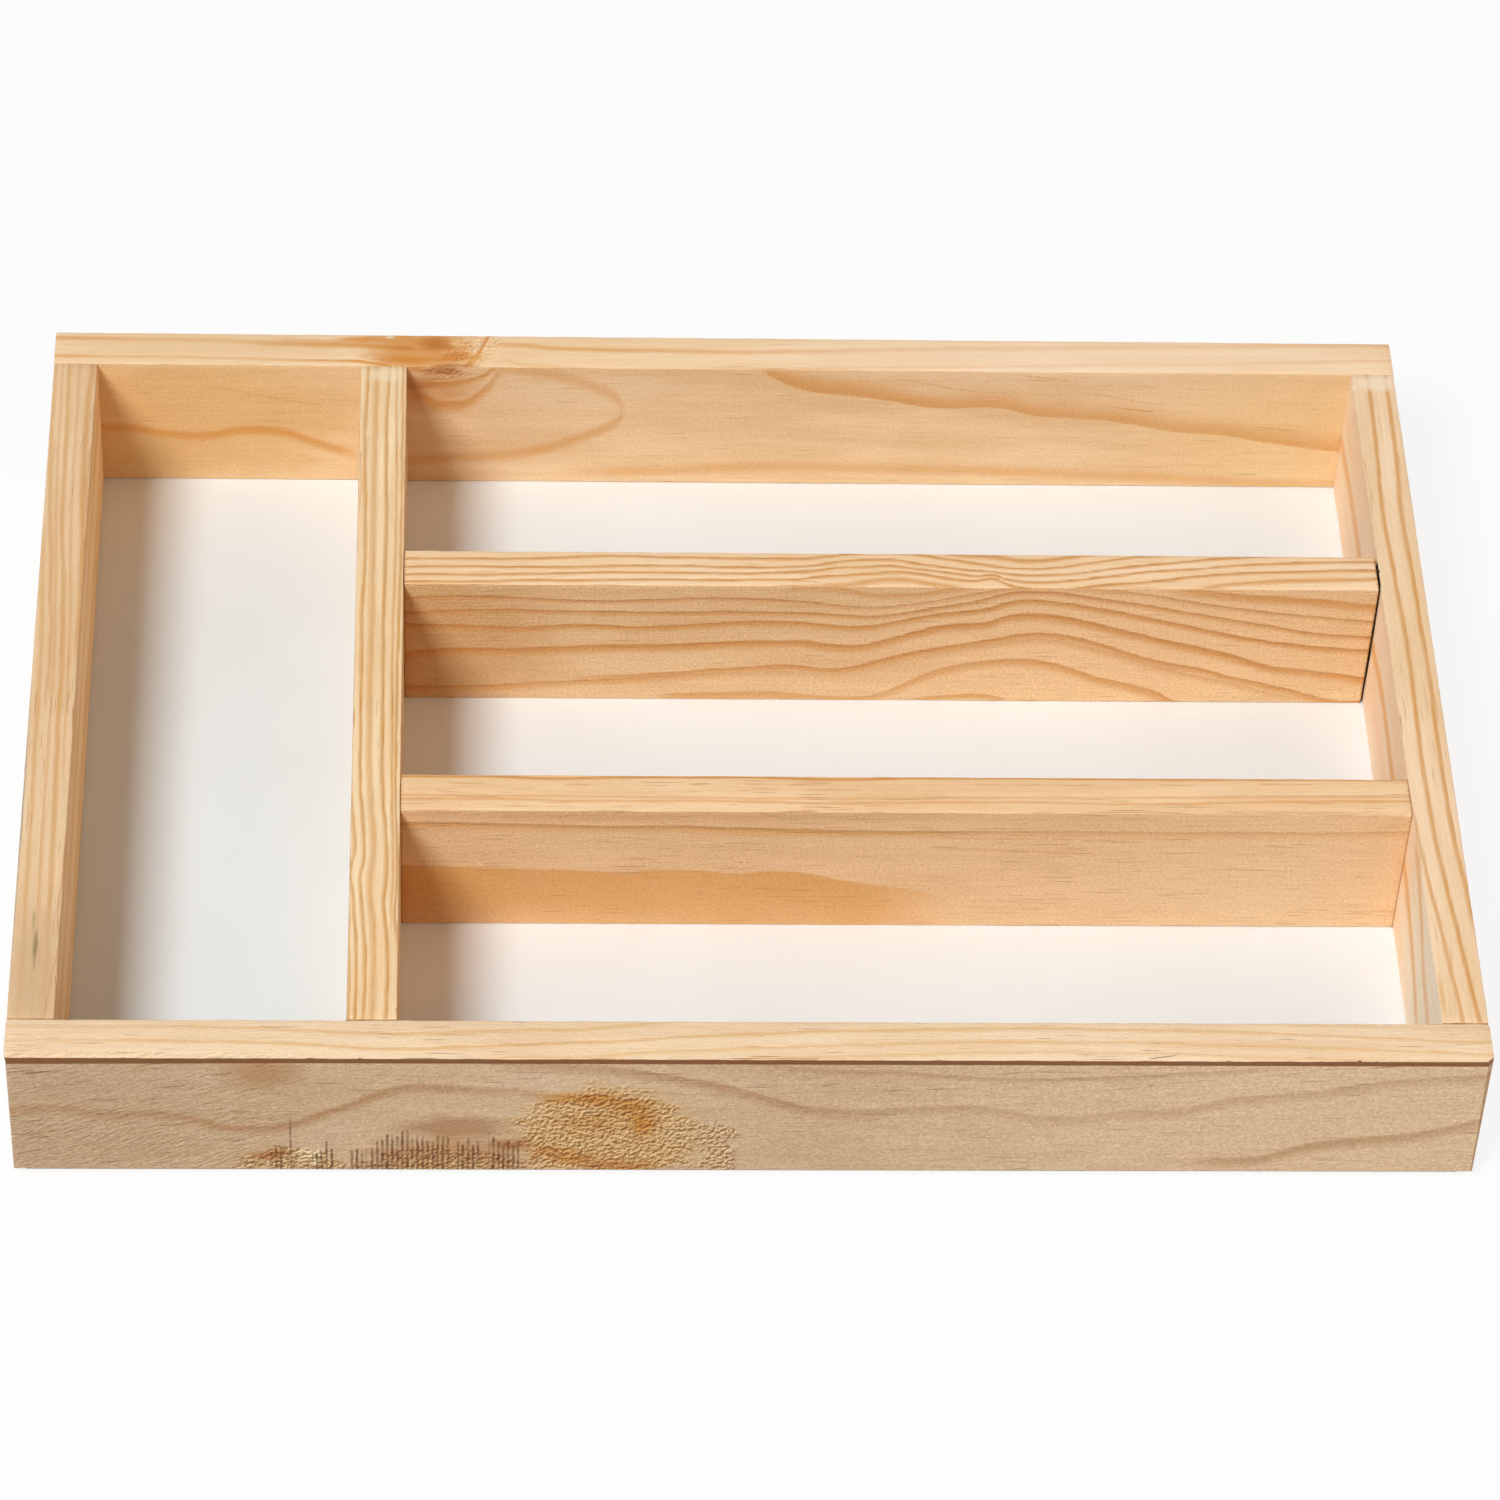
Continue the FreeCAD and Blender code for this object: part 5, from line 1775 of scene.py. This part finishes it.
            GrainLine(((0, 8.9), (15, 9.2), (30, 9.2), (40, 9.6), (50, 10.4), (70, 10.2), (100, 10.1), (107, 10.8),
                       (113, 11.9), (130, 11.6), (137, 10.2), (145, 8.6), (152, 7.3), (157, 6.8), (165, 7.2),
                       (172, 8.6), (180, 10.2), (190, 12)), 0.5, 0.8, 0.65, 0.65, on_top=True),
            GrainLine(((132, 13), (138, 12), (150, 10.8), (157, 9.6), (165, 10.3), (173, 12), (180, 13)), 1.0, 1.2,
                      0.7, 0.4, ((0, 0), (132, 0), (140, 1), (172, 1), (180, 0), (247, 0)), True),
            GrainLine(((97, 0), (110, 0.8), (124, 2.8), (135, 1), (142, 0)), 1.0, 1.4, 0.75, 0.3,
                      ((0, 0), (96, 0), (105, 0.8), (138, 0.8), (143, 0), (247, 0)), True),
            GrainLine(((198, 0), (207, 1.5), (215, 2.5), (230, 3.4), (247, 4)), 0.8, 1.1, 0.7, 0.35,
                      ((0, 0), (197, 0), (206, 0.9), (247, 1)), True),
        )
        return PineFinish(
            PineTint(paint(244, 206, 158), paint(236, 194, 144), paint(224, 156, 84), paint(166, 102, 48),
                     # Very dark end grain: painted shade for the narrow gaps at the divider's ends.
                     end=paint(120, 84, 52), end_ring=paint(92, 60, 36)),
            PineTint(paint(254, 220, 182), paint(248, 208, 162), paint(220, 158, 90), paint(172, 116, 60)),
            # Painted light and shade: the face is paler towards its right end, and darker near its left end, which
            # lies in shade.
            lines, (Patch(190, 20, 85, 40, paint(255, 212, 162), 0.75, 0.4, 0.3, True),
                    Patch(6, 20, 46, 44, paint(222, 172, 116), 0.75, 0.4, 0.3, True)),
            canals=0.10, butt_shade=0.75, fuzz=0.35, fray=0.5, speckle=0.18)

    def build(self, effects: SharedEffects) -> list[bpy.types.Object]:
        """Models and dresses the three dividers.

        Args:
            effects: The shared node groups.

        Returns:
            The dividers.
        """
        long_one = Board("long_divider", Showing.LEFT, self.long_finish(), self.arris,
                         chips=(Chip(3, 2.0, 0.5, Arris.FAR), Chip(2, 1.5, 0.5)))
        front = Board("front_cross_divider", Showing.FRONT, self.front_cross_finish(), self.arris,
                      chips=(Chip(246, 2.6, 0.7), Chip(243, 1.4, 0.6, Arris.FAR)))
        rear = RoughEndBoard("rear_cross_divider", Showing.FRONT, self.rear_cross_finish(), self.arris,
                             chips=(Chip(243.5, 1.8, 0.5),), ragged=self.ragged_end)
        return [board.make(effects) for board in (long_one, front, rear)]


@dataclass
class Base:
    """The floor panel and the staples that hold it from below."""

    panel: str = "floor_panel"
    staple_sets: tuple[str, ...] = (
        "front_board_staples", "back_board_staples", "left_board_staples", "right_board_staples",
        "long_divider_staples", "front_cross_divider_staples", "rear_cross_divider_staples")

    def dress(self, effects: SharedEffects) -> None:
        """Gives the panel its paint and the staples their steel.

        Args:
            effects: The shared node groups.
        """
        WhitePanelFinish().dress(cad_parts[self.panel], effects)
        SteelFinish("staple_steel").dress([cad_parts[name] for name in self.staple_sets], effects)
        log.info("%s and %d sets of staples", self.panel, len(self.staple_sets))


@dataclass
class CornerPins:
    """The fine headless pins through the corners and the divider ends."""

    joints: tuple[str, ...] = (
        "front_left_corner", "front_right_corner", "back_left_corner", "back_right_corner",
        "long_divider_front", "long_divider_back", "front_cross_divider_left", "front_cross_divider_right",
        "rear_cross_divider_left", "rear_cross_divider_right")

    def dress(self, effects: SharedEffects) -> None:
        """Gives the pins their steel.

        Args:
            effects: The shared node groups.
        """
        steel = SteelFinish("pin_steel", paint(172, 172, 172), paint(120, 120, 120), 0.3)
        steel.dress([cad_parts[f"{joint}_pins"] for joint in self.joints], effects)
        log.info("pins in %d joints", len(self.joints))


@dataclass
class Studio:
    """The pale floor, the lights and the camera."""

    floor_half: float = 3.0
    floor_gap: float = 0.00005
    window_half: tuple[float, float] = (0.170, 0.118)
    key_lean_side: float = 26.2
    key_lean_front: float = 31.0
    key_height: float = 3.6
    key_width: float = 1.36
    key_depth: float = 1.5
    key_power: float = 188.0
    fill_power: float = 6.5
    sky: float = 0.187
    sky_tone: Colour = (1.0, 0.95, 0.87, 1.0)
    sky_below: float = 0.8
    camera_place: tuple[float, float, float] = (-0.0687, -1.0126, 1.1161)
    camera_down: float = 47.2266
    camera_aside: float = 4.0912
    camera_roll: float = 3.3229
    lens: float = 142.6

    def build(self) -> None:
        """Sets up the floor, the background, the lights and the camera."""
        bpy.context.scene.view_settings.view_transform = "Standard"
        self.lay_floor()
        self.paint_background()
        self.hang_lights()
        self.set_camera()

    def lay_floor(self) -> None:
        """Lays a pale floor that keeps the shadow, with a window in it under the tray for views from below."""
        bpy.ops.object.select_all(action="DESELECT")
        bpy.ops.mesh.primitive_plane_add(size=2.0 * self.floor_half, location=(0.0, 0.0, -self.floor_gap))
        floor = bpy.context.active_object
        floor.name = "studio_floor"
        bpy.ops.object.transform_apply(location=True, rotation=True, scale=True)
        bpy.ops.object.mode_set(mode="EDIT")
        for axis, half in enumerate(self.window_half):
            for side in (-half, half):
                bpy.ops.mesh.select_all(action="SELECT")
                where, facing = Vector((0.0, 0.0, 0.0)), Vector((0.0, 0.0, 0.0))
                where[axis], facing[axis] = side, 1.0
                bpy.ops.mesh.bisect(plane_co=where, plane_no=facing)
        bpy.ops.mesh.select_mode(type="FACE")
        bpy.ops.mesh.select_all(action="DESELECT")
        mesh = bmesh.from_edit_mesh(floor.data)
        for face in mesh.faces:
            face.select_set(face.calc_center_median().to_2d().length < min(self.window_half))
        bmesh.update_edit_mesh(floor.data)
        bpy.ops.mesh.delete(type="FACE")
        bpy.ops.object.mode_set(mode="OBJECT")
        material = bpy.data.materials.new("pale_floor")
        material.use_nodes = True
        material.node_tree.nodes.clear()
        bench = NodeBench(material.node_tree)
        matt = bench.node("ShaderNodeBsdfDiffuse", {"Color": paint(240, 240, 239)})
        glow = bench.node("ShaderNodeEmission", {"Color": (1.0, 1.0, 1.0, 1.0), "Strength": 1.0})
        rays = bench.node("ShaderNodeLightPath").outputs
        seen = bench.math("MAXIMUM", rays["Is Camera Ray"],
                          bench.math("MAXIMUM", rays["Is Glossy Ray"], rays["Is Transmission Ray"]))
        share = bench.math("MULTIPLY", seen, 0.88)
        above = bench.node("ShaderNodeMixShader", {0: share, 1: matt.outputs[0], 2: glow.outputs[0]})
        clear = bench.node("ShaderNodeBsdfTransparent")
        below = bench.node("ShaderNodeNewGeometry").outputs["Backfacing"]
        surface = bench.node("ShaderNodeMixShader", {0: below, 1: above.outputs[0], 2: clear.outputs[0]})
        bench.node("ShaderNodeOutputMaterial", {"Surface": surface.outputs[0]})
        floor.data.materials.append(material)

    def paint_background(self) -> None:
        """Makes the background white in view, and only a weak neutral sky as a light."""
        world = bpy.data.worlds.new("studio")
        bpy.context.scene.world = world
        world.use_nodes = True
        world.node_tree.nodes.clear()
        bench = NodeBench(world.node_tree)
        rays = bench.node("ShaderNodeLightPath").outputs
        seen = bench.math("MAXIMUM", rays["Is Camera Ray"],
                          bench.math("MAXIMUM", rays["Is Glossy Ray"], rays["Is Transmission Ray"]))
        height = bench.parts(bench.node("ShaderNodeTexCoord").outputs["Generated"])[2]
        sky = bench.ease(height, -0.2, -0.03, self.sky_below, self.sky)
        strength = bench.choose(seen, sky, 1.0)
        tone = bench.mix(seen, self.sky_tone, (1.0, 1.0, 1.0, 1.0))
        back = bench.node("ShaderNodeBackground", {"Color": tone, "Strength": strength})
        bench.node("ShaderNodeOutputWorld", {"Surface": back.outputs[0]})

    def hang_light(self, name: str, place: Vector, power: float, size: tuple[float, float],
                   colour: tuple[float, float, float]) -> None:
        """Hangs one softbox that looks at the tray, its width level from left to right.

        Args:
            name: Its name.
            place: Where it hangs, in metres.
            power: Its power in watts.
            size: Its width and depth in metres.
            colour: The colour of its light.
        """
        lamp = bpy.data.lights.new(name, "AREA")
        lamp.shape = "RECTANGLE"
        lamp.size, lamp.size_y = size
        lamp.energy = power
        lamp.color = colour
        holder = bpy.data.objects.new(name, lamp)
        bpy.context.scene.collection.objects.link(holder)
        back = place.normalized()
        width = (Vector((1.0, 0.0, 0.0)) - back * back.x).normalized()
        turn = Matrix((width, back.cross(width), back)).transposed().to_4x4()
        holder.matrix_world = Matrix.Translation(place) @ turn

    def hang_lights(self) -> None:
        """Hangs the key softbox high on the left and the weak warm fill on the right."""
        side = math.tan(math.radians(self.key_lean_side))
        front = math.tan(math.radians(self.key_lean_front))
        key = Vector((-side, -front, 1.0)) * self.key_height
        self.hang_light("key_softbox", key, self.key_power, (self.key_width, self.key_depth), (0.90, 0.965, 1.0))
        self.hang_light("warm_fill", Vector((1.3, -0.5, 1.0)), self.fill_power, (1.2, 1.2), (1.0, 0.64, 0.38))

    def set_camera(self) -> None:
        """Sets the camera at the photograph's place and angle."""
        down, aside, roll = (math.radians(angle) for angle in (self.camera_down, self.camera_aside, self.camera_roll))
        ahead = Vector((math.sin(aside) * math.cos(down), math.cos(aside) * math.cos(down), -math.sin(down)))
        level = Vector((math.cos(aside), -math.sin(aside), 0.0))
        upward = level.cross(ahead)
        right = level * math.cos(roll) + upward * math.sin(roll)
        top = upward * math.cos(roll) - level * math.sin(roll)
        data = bpy.data.cameras.new("camera")
        data.lens = self.lens
        data.sensor_width = 36.0
        data.clip_start, data.clip_end = 0.05, 20.0
        camera = bpy.data.objects.new("camera", data)
        bpy.context.scene.collection.objects.link(camera)
        turn = Matrix((right, top, -ahead)).transposed().to_4x4()
        camera.matrix_world = Matrix.Translation(Vector(self.camera_place)) @ turn
        bpy.context.scene.camera = camera


def main() -> None:
    """Builds the studio and the whole tray in order."""
    logging.basicConfig(level=logging.INFO, format="%(name)s: %(message)s")
    Studio().build()
    effects = SharedEffects()
    OuterFrame().build(effects)
    Dividers().build(effects)
    Base().dress(effects)
    CornerPins().dress(effects)


if __name__ == "__main__":
    main()
